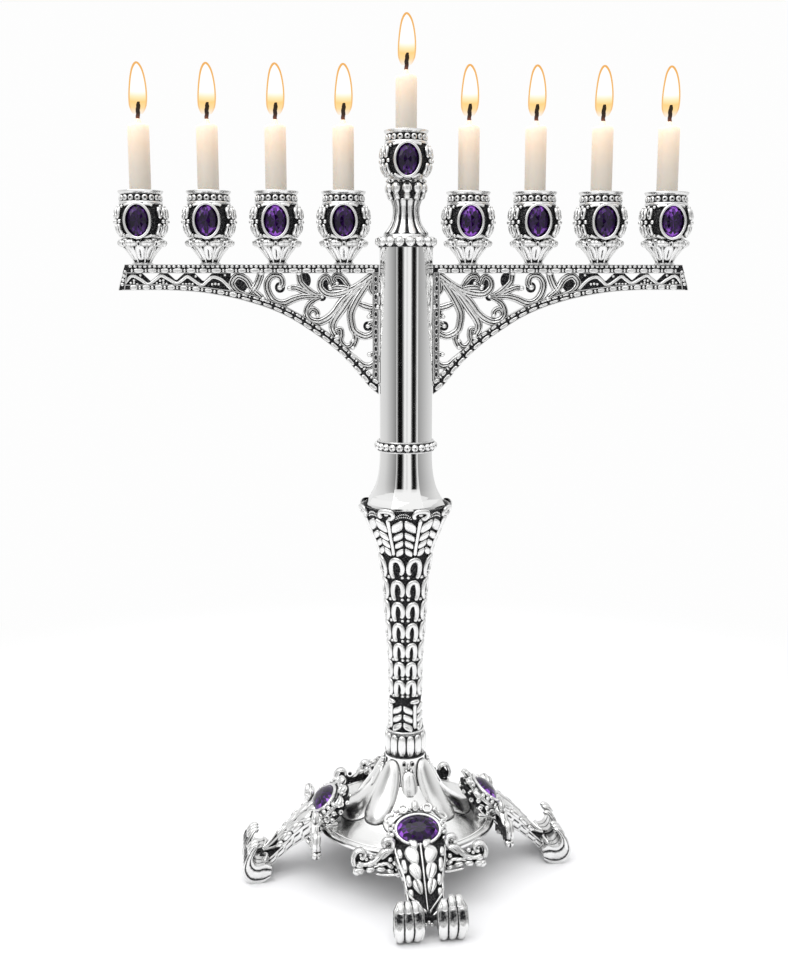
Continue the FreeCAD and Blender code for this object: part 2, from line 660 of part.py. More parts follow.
arm_cup = make_arm_cup()
cup_stones = make_cup_stones()
liner = make_socket_liner()
candle_arm_z = cup_arm_z + socket_floor + 0.5
candle_centre_z = cup_centre_z + socket_floor + 0.5
arm_candle = make_candle(candle_arm_z, candle_arm_top)
arm_wick = make_wick(candle_arm_top)

places = []
for side, word in ((-1, "left"), (1, "right")):
    for k in range(cups_per_arm):
        places.append((word + "_" + str(k + 1), side * (cup_first + cup_pitch * k)))

liners = [move(liner, 0, 0, cup_centre_z)]
studs = []
for name, x in places:
    export("cup_" + name, move(arm_cup, x, 0, cup_arm_z))
    export("stones_" + name, move(cup_stones, x, 0, cup_arm_z))
    export("candle_" + name, move(arm_candle, x, 0, 0))
    export("wick_" + name, move(arm_wick, x, 0, 0))
    liners.append(move(liner, x, 0, cup_arm_z))
    studs.append(Part.makeCylinder(stud_dia / 2, 9.0, V(x, 0, rail_top - 3.0)))
export("cup_centre", move(make_centre_cup(), 0, 0, cup_centre_z))
export("stones_centre", move(cup_stones, 0, 0, cup_centre_z))
export("candle_centre", make_candle(candle_centre_z, candle_centre_top))
export("wick_centre", make_wick(candle_centre_top))
export("candle_sockets", group(liners))
export("cup_studs", group(studs))
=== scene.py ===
import math
import bpy
import numpy as np
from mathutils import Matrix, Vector


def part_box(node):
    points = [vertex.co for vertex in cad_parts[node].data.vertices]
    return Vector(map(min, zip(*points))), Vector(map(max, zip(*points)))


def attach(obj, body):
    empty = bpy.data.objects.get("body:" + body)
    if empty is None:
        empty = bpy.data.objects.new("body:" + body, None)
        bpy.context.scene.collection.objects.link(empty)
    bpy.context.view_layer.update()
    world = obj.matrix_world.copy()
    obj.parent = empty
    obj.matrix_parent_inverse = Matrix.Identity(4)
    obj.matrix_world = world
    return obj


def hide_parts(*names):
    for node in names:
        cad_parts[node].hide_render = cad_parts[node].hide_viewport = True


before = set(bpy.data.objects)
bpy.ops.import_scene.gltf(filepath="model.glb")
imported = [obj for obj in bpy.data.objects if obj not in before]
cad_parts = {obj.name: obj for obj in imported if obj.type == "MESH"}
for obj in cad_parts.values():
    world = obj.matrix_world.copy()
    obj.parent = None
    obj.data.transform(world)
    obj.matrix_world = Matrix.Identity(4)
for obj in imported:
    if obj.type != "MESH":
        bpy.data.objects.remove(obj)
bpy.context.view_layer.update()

MM = 0.001                        # shapes are drawn in millimetres
TAU = 2 * np.pi
RNG = np.random.default_rng(7)    # painted light on the stones' facets, drawn at random
TURN = math.radians(5.4)          # how far the base is turned about the stem
QUARTER = np.pi / 2
STAND = "stand"


def mid_x(node):
    lo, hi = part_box(node)
    return (lo[0] + hi[0]) / 2 / MM


def top(node):
    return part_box(node)[1][2] / MM


def foot(node):
    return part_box(node)[0][2] / MM


# ------------------------------------------------------------------ mesh building
class Geo:
    """Gathers grids of points in millimetres, with a wear_and_painted_light value per point: on silver 0 is a
    blackened recess and 1 rubbed silver; on the stones it is painted facet light, on the wick its painted root glow,
    and on the flames the height up the flame.
    """

    def __init__(self):
        self.v, self.a, self.f, self.n = [], [], [], 0

    def add(self, P, A, F):
        P = np.asarray(P, float).reshape(-1, 3)
        self.v.append(P)
        self.a.append(np.broadcast_to(np.asarray(A, float).reshape(-1), (len(P),)))
        for f in F:
            self.f.append(np.asarray(f) + self.n)
        self.n += len(P)

    def grid(self, P, A=1.0, wrap=False, cap0=False, cap1=False):
        nv, nu = P.shape[:2]
        A = np.broadcast_to(A, (nv, nu))
        idx = np.arange(nv * nu).reshape(nv, nu)
        I = np.concatenate([idx, idx[:, :1]], 1) if wrap else idx
        F = [np.stack([I[:-1, :-1], I[:-1, 1:], I[1:, 1:], I[1:, :-1]], -1).reshape(-1, 4)]
        V, AA = [P.reshape(-1, 3)], [A.reshape(-1)]
        k = nv * nu
        for on, row in ((cap0, 0), (cap1, nv - 1)):
            if on:
                V.append(P[row].mean(0)[None])
                AA.append(np.array([A[row].mean()]))
                ring = I[row]
                tri = np.stack([ring[:-1], ring[1:], np.full(len(ring) - 1, k)], -1)
                F.append(tri[:, ::-1] if row == 0 else tri)
                k += 1
        self.add(np.concatenate(V), np.concatenate(AA), F)

    def tube(self, P, A):
        """Closed tube with both ends capped."""
        self.grid(P, A, wrap=True, cap0=True, cap1=True)

    def carried(self, place, flip=False):
        """Copy with its points passed through place; flip turns the faces over after a mirror."""
        q = Geo()
        q.v, q.a, q.n = [place(P) for P in self.v], list(self.a), self.n
        q.f = [f[:, ::-1] if flip else f for f in self.f]
        return q

    def join(self, other):
        self.v += other.v
        self.a += other.a
        self.f += [f + self.n for f in other.f]
        self.n += other.n

    def mesh(self, name, sharp=50.0, painted_facets=False):
        me = bpy.data.meshes.new(name)
        v = np.concatenate(self.v) * MM
        me.vertices.add(len(v))
        me.vertices.foreach_set("co", v.astype(np.float32).ravel())
        loops = np.concatenate([f.ravel() for f in self.f]).astype(np.int32)
        size = np.concatenate([np.full(len(f), f.shape[1]) for f in self.f])
        me.loops.add(len(loops))
        me.loops.foreach_set("vertex_index", loops)
        me.polygons.add(len(size))
        starts = np.concatenate([[0], np.cumsum(size)[:-1]])
        me.polygons.foreach_set("loop_start", starts.astype(np.int32))
        me.update(calc_edges=True)
        me.validate()
        # wear_and_painted_light: real oxide and rubbing on the silver, and painted light on the stones and at the
        # wick's root
        at = me.attributes.new("wear_and_painted_light", "FLOAT", "POINT")
        at.data.foreach_set("value", np.concatenate(self.a).astype(np.float32))
        if painted_facets:
            me.shade_flat()
            # painted light: each facet of a stone gets its own random brightness
            ft = me.attributes.new("painted_facet_light", "FLOAT", "FACE")
            ft.data.foreach_set("value", RNG.random(len(me.polygons)).astype(np.float32))
        else:
            me.shade_smooth()
            me.set_sharp_from_angle(angle=math.radians(sharp))
        return me


def piece(name, me, mat, body, slot, *nodes, at=(0, 0, 0), turn=0.0):
    ob = bpy.data.objects.new(name, me)
    bpy.context.scene.collection.objects.link(ob)
    ob.location = [c * MM for c in at]
    ob.rotation_euler = (0, 0, turn)
    if not me.materials:
        me.materials.append(mat)
    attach(ob, body)
    if nodes:
        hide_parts(*nodes)
    return ob


def silver(name, me, node, z=0.0, **kw):
    """Antiqued casting on the stand, at height z on the axis unless at says otherwise."""
    piece(name, me, SILVER, STAND, "antiqued_silver", node, **{"at": (0, 0, z), **kw})


def unit(a):
    return a / np.maximum(np.linalg.norm(a, axis=-1, keepdims=True), 1e-9)


def around(n):
    """n angles round a circle."""
    return np.linspace(0, TAU, n, endpoint=False)


def polar(R, th, z):
    """Points at radius R and angle th from the front, which is -Y."""
    return np.stack(np.broadcast_arrays(R * np.sin(th), -R * np.cos(th), z), -1)


def arc(c):
    """Distance along a line at each of its points."""
    return np.concatenate([[0], np.cumsum(np.linalg.norm(np.diff(c, axis=0), axis=1))])


def spread(w, n):
    """n values along the evenly spaced stations w."""
    w = np.atleast_1d(w)
    return np.interp(np.linspace(0, 1, n), np.linspace(0, 1, len(w)), w)


def ends(n, reach, least):
    """Narrowing of a bar towards both its ends."""
    k = np.arange(n)
    return least + (1 - least) * np.clip(np.minimum(k, k[::-1]) / reach, 0, 1)


def smooth_line(pts, n, closed=False):
    """Catmull-Rom points along a line, evenly spaced."""
    p = np.asarray(pts, float)
    if closed:
        q = np.concatenate([p[-1:], p, p[:2]])
    else:
        q = np.concatenate([2 * p[:1] - p[1:2], p, 2 * p[-1:] - p[-2:-1]])
    out = []
    t = np.linspace(0, 1, 12, endpoint=False)[:, None]
    for k in range(len(q) - 3):
        a, b, c, d = q[k:k + 4]
        out.append(0.5 * (2 * b + (c - a) * t + (2 * a - 5 * b + 4 * c - d) * t ** 2
                          + (3 * b - a - 3 * c + d) * t ** 3))
    out.append(p[:1] if closed else p[-1:])
    c = np.concatenate(out)
    s = arc(c)
    w = np.linspace(0, s[-1], n)
    return np.stack([np.interp(w, s, c[:, k]) for k in range(c.shape[1])], 1)


def fine(pts, step):
    """Resample an outline smoothly, about step apart."""
    p = np.asarray(pts, float)
    return smooth_line(p, max(6, int(np.linalg.norm(np.diff(p, axis=0), axis=1).sum() / step)))


def tangents(c, closed):
    t = unit(np.gradient(c, axis=0))
    if closed:
        t[0] = t[-1] = unit(c[1] - c[-2])
    return t


def follow(c):
    """Length of a plane line, and a lookup of its point and tangent by distance."""
    s, t = arc(c), unit(np.gradient(c, axis=0))
    return s[-1], lambda y: [np.interp(y, s, q) for q in (c[:, 0], c[:, 1], t[:, 0], t[:, 1])]


def sweep(g, pts, w, d, up=(0, 1, 0), n=0, k=14, lo=0.25, groove=0.0, closed=False, lines=(0.0,)):
    """Bar along a line: half width w in the plane across up, half depth d along up. w and d may be lists
    of stations. groove cuts flutes of that depth at the places in lines, from -1 to 1 across the bar."""
    n = n or 5 * len(pts)
    c = smooth_line(pts, n, closed)
    t = tangents(c, closed)
    side = unit(np.cross(t, np.asarray(up, float)))
    upv = unit(np.cross(side, t))
    taper = 1.0 if closed else ends(n, 1.6, 0.25)
    W, D = spread(w, n) * taper, spread(d, n) * taper
    ph = around(k) + QUARTER
    cs, sn = np.cos(ph), np.sin(ph)
    cs = np.sign(cs) * np.abs(cs) ** 0.85
    flute = 0.22 if len(lines) == 1 else 0.13
    cut = np.max([np.exp(-((cs - q) / flute) ** 2) for q in lines], axis=0)
    across = side[:, None] * (W[:, None] * cs)[..., None]
    P = c[:, None] + across + upv[:, None] * (D[:, None] * sn * (1 - groove * cut))[..., None]
    A = lo + (1 - lo) * np.abs(sn) ** 0.8 * (1 - 1.1 * groove * cut)
    g.grid(P, A, wrap=True, cap0=not closed, cap1=not closed)


def revolve(g, prof, n=96):
    """Turned surface from (radius, z, wear_and_painted_light) rows."""
    r, z, wear_and_painted_light = np.asarray(prof, float).T[..., None]
    g.grid(polar(r, around(n), z), wear_and_painted_light, wrap=True)


def on_turned(zs, rs, lift=0.0):
    """Maps (angle, z, height) onto a turned surface."""
    zs, rs = np.asarray(zs, float), np.asarray(rs, float)

    def at(th, z, h):
        dr = (np.interp(z + 0.3, zs, rs) - np.interp(z - 0.3, zs, rs)) / 0.6
        n = 1 / np.sqrt(1 + dr * dr)
        return polar(np.interp(z, zs, rs) + (h + lift) * n, th, z - (h + lift) * dr * n)
    at.radius = lambda z: np.interp(z, zs, rs)
    return at


def along(pts):
    """Maps (angle, distance down the outline, height) onto a turned surface."""
    look = follow(smooth_line(pts, 400))[1]

    def at(th, y, h):
        r, z, tr, tz = look(y)
        return polar(r - tz * h, th, z + tr * h)
    at.radius = lambda y: look(y)[0]
    return at


def local(S, th0, z0):
    """A flat patch in millimetres (x across, y up) laid on a turned surface."""
    return lambda x, y, h: S(th0 + x / np.maximum(S.radius(z0 + y), 0.5), z0 + y, h)


def boss(g, S, x, y, rx, ry, H, rot=0.0, leaf=0.0, shear=0.0, hole=0.0, rim=0.12, power=2.4, nr=6, na=18,
         base=-0.25, vein=0.0, square=1.0, lip=1.02):
    """Raised oval, leaf or eyed pod on a surface S(x, y, height). leaf narrows it upwards, shear slants it,
    vein cuts a slit up it, square below 1 squares it off, and lip up to 1 blackens its very edge."""
    rho = np.concatenate([np.linspace(0, 0.82, nr), [0.92, 0.97, 1.0] if lip <= 1 else [0.93, 1.0]])
    R, F = np.meshgrid(rho[1:], around(na), indexing="ij")
    X = R * np.sign(np.cos(F)) * np.abs(np.cos(F)) ** (0.9 * square) * rx
    Y = R * np.sign(np.sin(F)) * np.abs(np.sin(F)) ** square * ry
    X = X * (1 - leaf * (Y / ry + 1) / 2)
    Y = Y + shear * X
    Hh = H * (1 - R ** power) ** 0.5
    A = np.clip((lip - R) / rim, 0, 1) * 0.95 + 0.05
    if hole:
        k = np.clip(1 - R / hole, 0, 1)
        Hh = Hh * (1 - 0.8 * np.minimum(1, k * 2.5))
        A = A * (1 - np.minimum(1, k * 4))
    if vein:
        v = np.exp(-(X / (0.16 * rx)) ** 2)
        Hh = Hh * (1 - vein * v)
        A = A * (1 - np.minimum(1, 1.3 * vein * v))
    c, s = math.cos(rot), math.sin(rot)
    Hh = np.where(R > 0.99, base, Hh)
    P = S(x + X * c - Y * s, y + X * s + Y * c, Hh)
    centre = S(np.array([x]), np.array([y]), np.array([H * (0.2 if hole else 1 - vein)]))
    idx = np.arange(R.size).reshape(R.shape) + 1
    I = np.concatenate([idx, idx[:, :1]], 1)
    quads = np.stack([I[:-1, :-1], I[1:, :-1], I[1:, 1:], I[:-1, 1:]], -1).reshape(-1, 4)
    tris = np.stack([np.zeros(na, int), I[0, :-1], I[0, 1:]], -1)
    g.add(np.concatenate([centre.reshape(1, 3), P.reshape(-1, 3)]),
          np.concatenate([[0.0 if hole else 1 - vein], A.reshape(-1)]), [quads, tris])


def ridge(g, S, pts, w, H, n=0, k=9, base=-0.25, edge=0.35):
    """Raised line of half width w lying on a surface S(x, y, height)."""
    n = n or 6 * len(pts)
    c = smooth_line(pts, n)
    t = tangents(c, False)
    W = spread(w, n) * ends(n, 1.8, 0.3)
    v = np.concatenate([[-1.0], np.linspace(-0.93, 0.93, k), [1.0]])
    X = c[:, None, 0] - t[:, None, 1] * W[:, None] * v
    Y = c[:, None, 1] + t[:, None, 0] * W[:, None] * v
    Hh = H * np.minimum(1, W / W.max() + 0.25)[:, None] * (1 - np.abs(v) ** 2.6) ** 0.5
    Hh[:, 0] = Hh[:, -1] = Hh[0] = Hh[-1] = base
    g.grid(S(X, Y, Hh), np.clip((1.03 - np.abs(v)) / edge, 0.03, 1))


def bead(g, c, r, axis=(0, 0, 1), dot=0.0, n=12, m=8):
    """Round bead whose pole faces axis; dot makes a blackened pit at the pole."""
    a = unit(np.asarray(axis, float))
    b = unit(np.cross(a, [0, 0, 1] if abs(a[2]) < 0.9 else [0, 1, 0]))
    e = np.cross(a, b)
    ph = around(n)
    be = np.linspace(0.12, np.pi - 0.12, m)
    hgt = np.cos(be)
    A = np.where(be < dot, 0.0, np.clip(0.55 + 0.6 * hgt, 0.08, 1))
    hgt = np.where(be < dot, hgt * 0.82, hgt)
    circle = np.cos(ph)[:, None] * b + np.sin(ph)[:, None] * e
    P = np.asarray(c, float) + r * (np.sin(be)[:, None, None] * circle + hgt[:, None, None] * a)
    g.tube(P, A[:, None])


def bead_circle(g, R, z, r, count, start=0.0, **kw):
    for k in range(count):
        d = polar(1.0, start + TAU * k / count, 0.0)
        bead(g, (R * d[0], R * d[1], z), r, axis=d, **kw)


# ------------------------------------------------------------------ materials
def emptied(owner):
    """Node tree of a material or world, with nothing in it."""
    owner.use_nodes = True
    nt = owner.node_tree
    for x in list(nt.nodes):
        nt.nodes.remove(x)
    return nt


def nodes_of(name):
    """New material with a Principled shader linked to its output."""
    m = bpy.data.materials.new(name)
    nt = emptied(m)
    out = nt.nodes.new("ShaderNodeOutputMaterial")
    sh = nt.nodes.new("ShaderNodeBsdfPrincipled")
    nt.links.new(sh.outputs[0], out.inputs[0])
    return m, nt, sh, out


def feed(nt, node, socket, source):
    nt.links.new(source if isinstance(source, bpy.types.NodeSocket) else source.outputs[0], node.inputs[socket])


def attribute(nt, name):
    at = nt.nodes.new("ShaderNodeAttribute")
    at.attribute_name = name
    return at.outputs["Fac"]


def noise(nt, scale, detail=4.0, rough=0.6):
    tc = nt.nodes.new("ShaderNodeTexCoord")
    nz = nt.nodes.new("ShaderNodeTexNoise")
    nz.inputs["Scale"].default_value = scale
    nz.inputs["Detail"].default_value = detail
    nz.inputs["Roughness"].default_value = rough
    feed(nt, nz, "Vector", tc.outputs["Object"])
    return nz.outputs["Fac"]


def ramp(nt, source, stops, interpolation="LINEAR"):
    """Colour ramp from (place, colour) stops; a single number is a grey."""
    r = nt.nodes.new("ShaderNodeValToRGB")
    r.color_ramp.interpolation = interpolation
    el = r.color_ramp.elements
    while len(el) < len(stops):
        el.new(0.5)
    for e, (p, c) in zip(el, stops):
        e.position = p
        e.color = (*c, 1.0) if isinstance(c, tuple) else (c, c, c, 1.0)
    feed(nt, r, 0, source)
    return r.outputs[0]


def math_node(nt, op, a, b):
    m = nt.nodes.new("ShaderNodeMath")
    m.operation = op
    for k, x in enumerate((a, b)):
        if isinstance(x, (int, float)):
            m.inputs[k].default_value = x
        else:
            nt.links.new(x, m.inputs[k])
    return m.outputs[0]


def mix_shader(nt, fac, a, b):
    mix = nt.nodes.new("ShaderNodeMixShader")
    for k, source in enumerate((fac, a, b)):
        feed(nt, mix, k, source)
    return mix.outputs[0]


def jitter(nt, value, nz, amount):
    """value with the noise nz added, centred on nothing."""
    return math_node(nt, "ADD", value, math_node(nt, "MULTIPLY", math_node(nt, "SUBTRACT", nz, 0.5), amount))


def bump(nt, sh, height, strength, distance):
    b = nt.nodes.new("ShaderNodeBump")
    b.inputs["Strength"].default_value = strength
    b.inputs["Distance"].default_value = distance
    feed(nt, b, "Height", height)
    feed(nt, sh, "Normal", b)


def antiqued(name):
    """Silver plate with black oxide left in the recesses and rubbed off the high spots."""
    bright, dim, oxide, worn_oxide = (0.86, 0.86, 0.855), 0.86, (0.010, 0.010, 0.012), 0.16
    m, nt, sh, _ = nodes_of(name)
    nz = noise(nt, 900.0, 5.0, 0.65)
    ao = nt.nodes.new("ShaderNodeAmbientOcclusion")
    ao.samples = 6
    ao.inputs["Distance"].default_value = 0.0013
    opening = ramp(nt, ao.outputs["AO"], [(0.22, 0), (0.62, 1)])
    rubbed = math_node(nt, "MULTIPLY", jitter(nt, attribute(nt, "wear_and_painted_light"), nz, 0.54), opening)
    fac = ramp(nt, rubbed, [(0.20, 0), (0.52, 1)])
    tint = ramp(nt, noise(nt, 160.0, 3.0), [(0.3, tuple(c * dim for c in bright)), (0.65, bright)])
    speck = ramp(nt, noise(nt, 2400.0, 2.0), [(0.50, oxide), (0.72, worn_oxide)])
    mix = nt.nodes.new("ShaderNodeMix")
    mix.data_type = "RGBA"
    for socket, source in ((0, fac), (6, speck), (7, tint)):
        feed(nt, mix, socket, source)
    feed(nt, sh, "Base Color", mix.outputs[2])
    feed(nt, sh, "Roughness", ramp(nt, fac, [(0.0, 0.6), (1.0, 0.24)]))
    sh.inputs["Metallic"].default_value = 1.0
    bump(nt, sh, nz, 0.25, 0.00012)
    return m


def polished(name, bright, rough):
    """Polished silver plate with fine handling marks; a wear_and_painted_light value of 0 gives a thin blackened line.
    """
    m, nt, sh, _ = nodes_of(name)
    feed(nt, sh, "Base Color", ramp(nt, attribute(nt, "wear_and_painted_light"), [(0.30, (0.02, 0.02, 0.022)), (0.90, bright)]))
    feed(nt, sh, "Roughness", ramp(nt, noise(nt, 220.0, 3.0), [(0.3, rough[0]), (0.7, rough[1])]))
    sh.inputs["Metallic"].default_value = 1.0
    bump(nt, sh, noise(nt, 2600.0, 2.0), 0.04, 0.00005)
    return m


def stone(name):
    """Deep purple cut stone; each facet is painted with its own random brightness, and brighter towards the stone's
    ends, as painted light coming back through the cut.
    """
    m, nt, sh, _ = nodes_of(name)
    # painted light: the random facet brightness times the brightness painted towards the stone's ends
    t = math_node(nt, "MULTIPLY", attribute(nt, "painted_facet_light"), attribute(nt, "wear_and_painted_light"))
    purples = [(0.05, (0.003, 0.001, 0.008)), (0.36, (0.020, 0.003, 0.050)),
               (0.62, (0.075, 0.016, 0.18)), (0.95, (0.34, 0.10, 0.66))]
    feed(nt, sh, "Base Color", ramp(nt, jitter(nt, t, noise(nt, 420.0, 3.0), 0.35), purples))
    sh.inputs["Roughness"].default_value = 0.04
    sh.inputs["IOR"].default_value = 1.54
    sh.inputs["Specular IOR Level"].default_value = 0.32
    return m


def wax(name, z_low, z_high):
    """Ivory wax with painted light: painted warmer and lighter towards the top where the flame shines down into it,
    and a faint painted glow over the whole candle that grows towards the top.
    """
    m, nt, sh, _ = nodes_of(name)
    tc = nt.nodes.new("ShaderNodeTexCoord")
    xyz = nt.nodes.new("ShaderNodeSeparateXYZ")
    feed(nt, xyz, 0, tc.outputs["Object"])
    mr = nt.nodes.new("ShaderNodeMapRange")
    mr.inputs[1].default_value = z_low * MM
    mr.inputs[2].default_value = z_high * MM
    feed(nt, mr, 0, xyz.outputs[2])
    nz = noise(nt, 300.0)
    h = jitter(nt, mr.outputs[0], nz, 0.10)
    # painted light: greige wax low down, painted to warm cream at the top as the flame's light
    feed(nt, sh, "Base Color", ramp(nt, h, [(0.0, (0.50, 0.47, 0.41)), (0.40, (0.56, 0.50, 0.43)),
                                            (0.72, (0.72, 0.59, 0.46)), (1.0, (0.86, 0.74, 0.60))]))
    # painted glow: emission over the whole candle flattens its side shading and brightens towards the top
    feed(nt, sh, "Emission Color", ramp(nt, h, [(0.0, (0.10, 0.09, 0.08)), (0.6, (0.12, 0.10, 0.085)),
                                                (0.9, (0.24, 0.16, 0.11)), (1.0, (0.50, 0.40, 0.29))]))
    sh.inputs["Emission Strength"].default_value = 0.6
    sh.inputs["Roughness"].default_value = 0.42
    sh.inputs["Subsurface Weight"].default_value = 0.25
    sh.inputs["Subsurface Radius"].default_value = (0.004, 0.002, 0.001)
    sh.inputs["Subsurface Scale"].default_value = 1.0
    bump(nt, sh, nz, 0.15, 0.0002)
    return m


def char(name):
    """Braided cotton wick, charred black, with a dull red painted glow at its root."""
    m, nt, sh, _ = nodes_of(name)
    nz = noise(nt, 2500.0, 3.0)
    char_and_root_glow = [(0.0, (0.32, 0.10, 0.05)), (0.3, (0.10, 0.035, 0.02)), (0.5, (0.02, 0.012, 0.01)),
             (1.0, (0.012, 0.010, 0.010))]
    # painted glow: low values at the wick's root paint it dull red
    feed(nt, sh, "Base Color", ramp(nt, jitter(nt, attribute(nt, "wear_and_painted_light"), nz, 0.3), char_and_root_glow))
    sh.inputs["Roughness"].default_value = 0.9
    bump(nt, sh, nz, 0.6, 0.0002)
    return m


def plain_steel(name):
    m, nt, sh, _ = nodes_of(name)
    nz = noise(nt, 700.0)
    feed(nt, sh, "Base Color", ramp(nt, nz, [(0.3, (0.42, 0.42, 0.43)), (0.7, 0.62)]))
    feed(nt, sh, "Roughness", ramp(nt, nz, [(0.3, 0.28), (0.7, 0.42)]))
    sh.inputs["Metallic"].default_value = 1.0
    bump(nt, sh, nz, 0.1, 0.0001)
    return m


SILVER = antiqued("antiqued_silver")
POLISH = polished("polished_silver", (0.90, 0.90, 0.895), (0.02, 0.05))
SOFT_POLISH = polished("polished_silver_base", (0.93, 0.93, 0.925), (0.21, 0.25))
STONE = stone("purple_stone")
STEEL = plain_steel("steel")
WICK = char("wick_char")

# the fasteners, rod and socket liners keep their CAD shapes
for node in ("leg_screws", "arm_screws", "cup_studs", "tie_rod", "tie_washer", "tie_nut", "candle_sockets"):
    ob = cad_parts[node]
    ob.data.materials.clear()
    ob.data.materials.append(STEEL)


# ------------------------------------------------------------------ stones
def gem(rx, ry, depth, point, n=16, long_axis=1):
    """Cut stone on the local XY plane, crown towards +Z. Facets near the ends of the long axis are painted brighter,
    as a painted glint.
    """
    g = Geo()

    def ring(scale, level, shift):
        a = TAU * (np.arange(n) + shift) / n
        x, y = np.cos(a) * scale * rx, np.sin(a) * scale * ry
        if long_axis:
            x = x * (1 - point * np.abs(np.sin(a)) ** 3)
        else:
            y = y * (1 - point * np.abs(np.cos(a)) ** 3)
        return np.stack([x, y, np.full(n, level * depth)], 1)

    def facet(*corners):
        c = np.mean(corners, axis=0)
        toward_end = abs(c[1] / ry) if long_axis else abs(c[0] / rx)
        # painted highlight: facets nearer the ends of the long axis get a brighter value
        g.add(corners, 0.30 + 0.95 * toward_end ** 1.6, [[list(range(len(corners)))]])

    A, B = ring(1.0, -1.2, 0), ring(1.0, 0.0, 0)
    for k in range(n):
        facet(A[k], A[(k + 1) % n], B[(k + 1) % n], B[k])
    A = B
    for i, (s, h) in enumerate(((0.85, 0.45), (0.64, 0.76), (0.38, 0.95))):
        B = ring(s, h, 0.5 * ((i + 1) % 2))
        for k in range(n):
            j = (k + 1) % n
            for corners in (((A[k], A[j], B[k]), (A[j], B[j], B[k])), ((A[k], B[j], B[k]), (A[k], A[j], B[j])))[i % 2]:
                facet(*corners)
        A = B
    for k in range(n):
        facet(A[k], A[(k + 1) % n], np.array([0, 0, depth]))
    return g


def facing(flat, y0, z0, turn):
    """Stand a piece drawn on XY up to face -Y at (0, y0, z0), then turn it about Z."""
    c, s = math.cos(turn), math.sin(turn)

    def place(P):
        x, y, z = P[:, 0], y0 - P[:, 2], z0 + P[:, 1]
        return np.stack([x * c - y * s, x * s + y * c, z], 1)
    return flat.carried(place)


def oval(rx, ry, n, h=0.0, point=0.0):
    a = around(n)
    return np.stack([np.cos(a) * rx * (1 - point * np.abs(np.sin(a)) ** 3), np.sin(a) * ry, np.full(n, h)], 1)


# ------------------------------------------------------------------ cups
STUD = {"nr": 4, "na": 12}        # mesh of a small boss
FACES = (0.0, np.pi)              # a stone at the front and one at the back
STONE_Z, STONE_Y, BEZEL_Y = 7.6, -11.45, -12.0
BOWL_Z = [0.0, 1.6, 4.0, 7.0, 9.0, 12.4, 14.6, 15.6, 17.8, 19.4, 20.4, 21.0]
BOWL_R = [8.3, 9.3, 10.6, 11.4, 11.5, 10.9, 9.8, 9.3, 8.8, 8.9, 9.5, 9.9]
CUP_FOOT, CENTRE_CUP_FOOT = 11.1, 6.0     # height of the bowl above the foot of its CAD piece
LIP = 20.5


def bowl():
    g = Geo()
    prof = [(8.2, 0.0, .9), (8.5, 0.7, .95), (8.8, 1.5, .9), (8.9, 1.8, .05)]
    prof += [(np.interp(z, BOWL_Z, BOWL_R) - 0.7, z, 0.02) for z in np.linspace(2.0, 14.6, 22)]
    prof += [(9.5, 14.9, .3), (9.7, 15.3, 1), (9.6, 16.0, 1), (9.0, 16.4, .5), (8.6, 16.6, .03), (8.5, 18.9, .03),
             (8.7, 19.2, .1), (9.0, 19.4, .6), (9.5, 19.8, 1), (9.9, 20.4, 1), (10.0, 20.8, 1), (9.8, 21.0, 1),
             (9.0, 20.9, .9), (8.2, 20.2, .8), (6.2, 19.2, .5), (5.5, 18.6, .3), (5.5, 18.0, .2)]
    revolve(g, prof, 88)
    S = on_turned(BOWL_Z, BOWL_R)
    for k in range(18):
        boss(g, local(S, TAU * k / 18, 17.7), 0, 0, 1.35, 1.45, 0.8, hole=0.35, nr=5, na=14, power=2.2)
    # filigree round the sides: stacked eyed lobes tied by small beads
    for k in range(10):
        a = math.radians(54 + 18 * (k % 5)) * (1 if k < 5 else -1)
        for y in (3.9, 11.2):
            boss(g, local(S, a, y), 0, 0, 1.36, 2.668, 1.0, nr=6, na=20, hole=0.42, power=2.6, square=0.9)
        for y, rx, ry, h in ((7.5, 0.9, 0.9, 1.0), (13.9, 0.8, 0.7, 0.8), (1.6, 0.8, 0.7, 0.8)):
            boss(g, local(S, a + 0.15, y), 0, 0, rx, ry, h, **STUD)
    for face in FACES:
        P = local(S, face, STONE_Z)
        # window frame: a bright line round each blackened corner
        for sx in (-1, 1):
            ridge(g, P, [(sx * 2.0, 7.0), (sx * 4.6, 7.2), (sx * 6.8, 6.6)], 0.7, 0.5)
            ridge(g, P, [(sx * 1.6, -7.4), (sx * 4.2, -6.7), (sx * 6.4, -6.0)], 0.75, 0.6)
        # bezel: a plain bright oval collar on a blackened drum
        ring = Geo()
        pts = oval(5.55, 7.35, 48, point=0.05)
        sweep(ring, pts, 0.66, 0.75, up=(0, 0, 1), n=72, k=12, closed=True, lo=0.55)
        drum = ((1.06, -3.4), (1.09, -0.5), (0.92, -0.2), (0.88, -1.2))
        ring.grid(np.stack([pts * s + [0, 0, h] for s, h in drum]), np.array([.02, .02, .3, .02])[:, None], wrap=True)
        g.join(facing(ring, BEZEL_Y, STONE_Z, face))
    return g


def cup_stones(painted_light_gain):
    g = Geo()
    for face in FACES:
        g.join(facing(gem(4.6, 6.75, 1.7, point=0.14), STONE_Y, STONE_Z, face))
    # painted light: the painted brightness of this cup's stones is scaled by the gain
    g.a = [a * painted_light_gain for a in g.a]
    return g


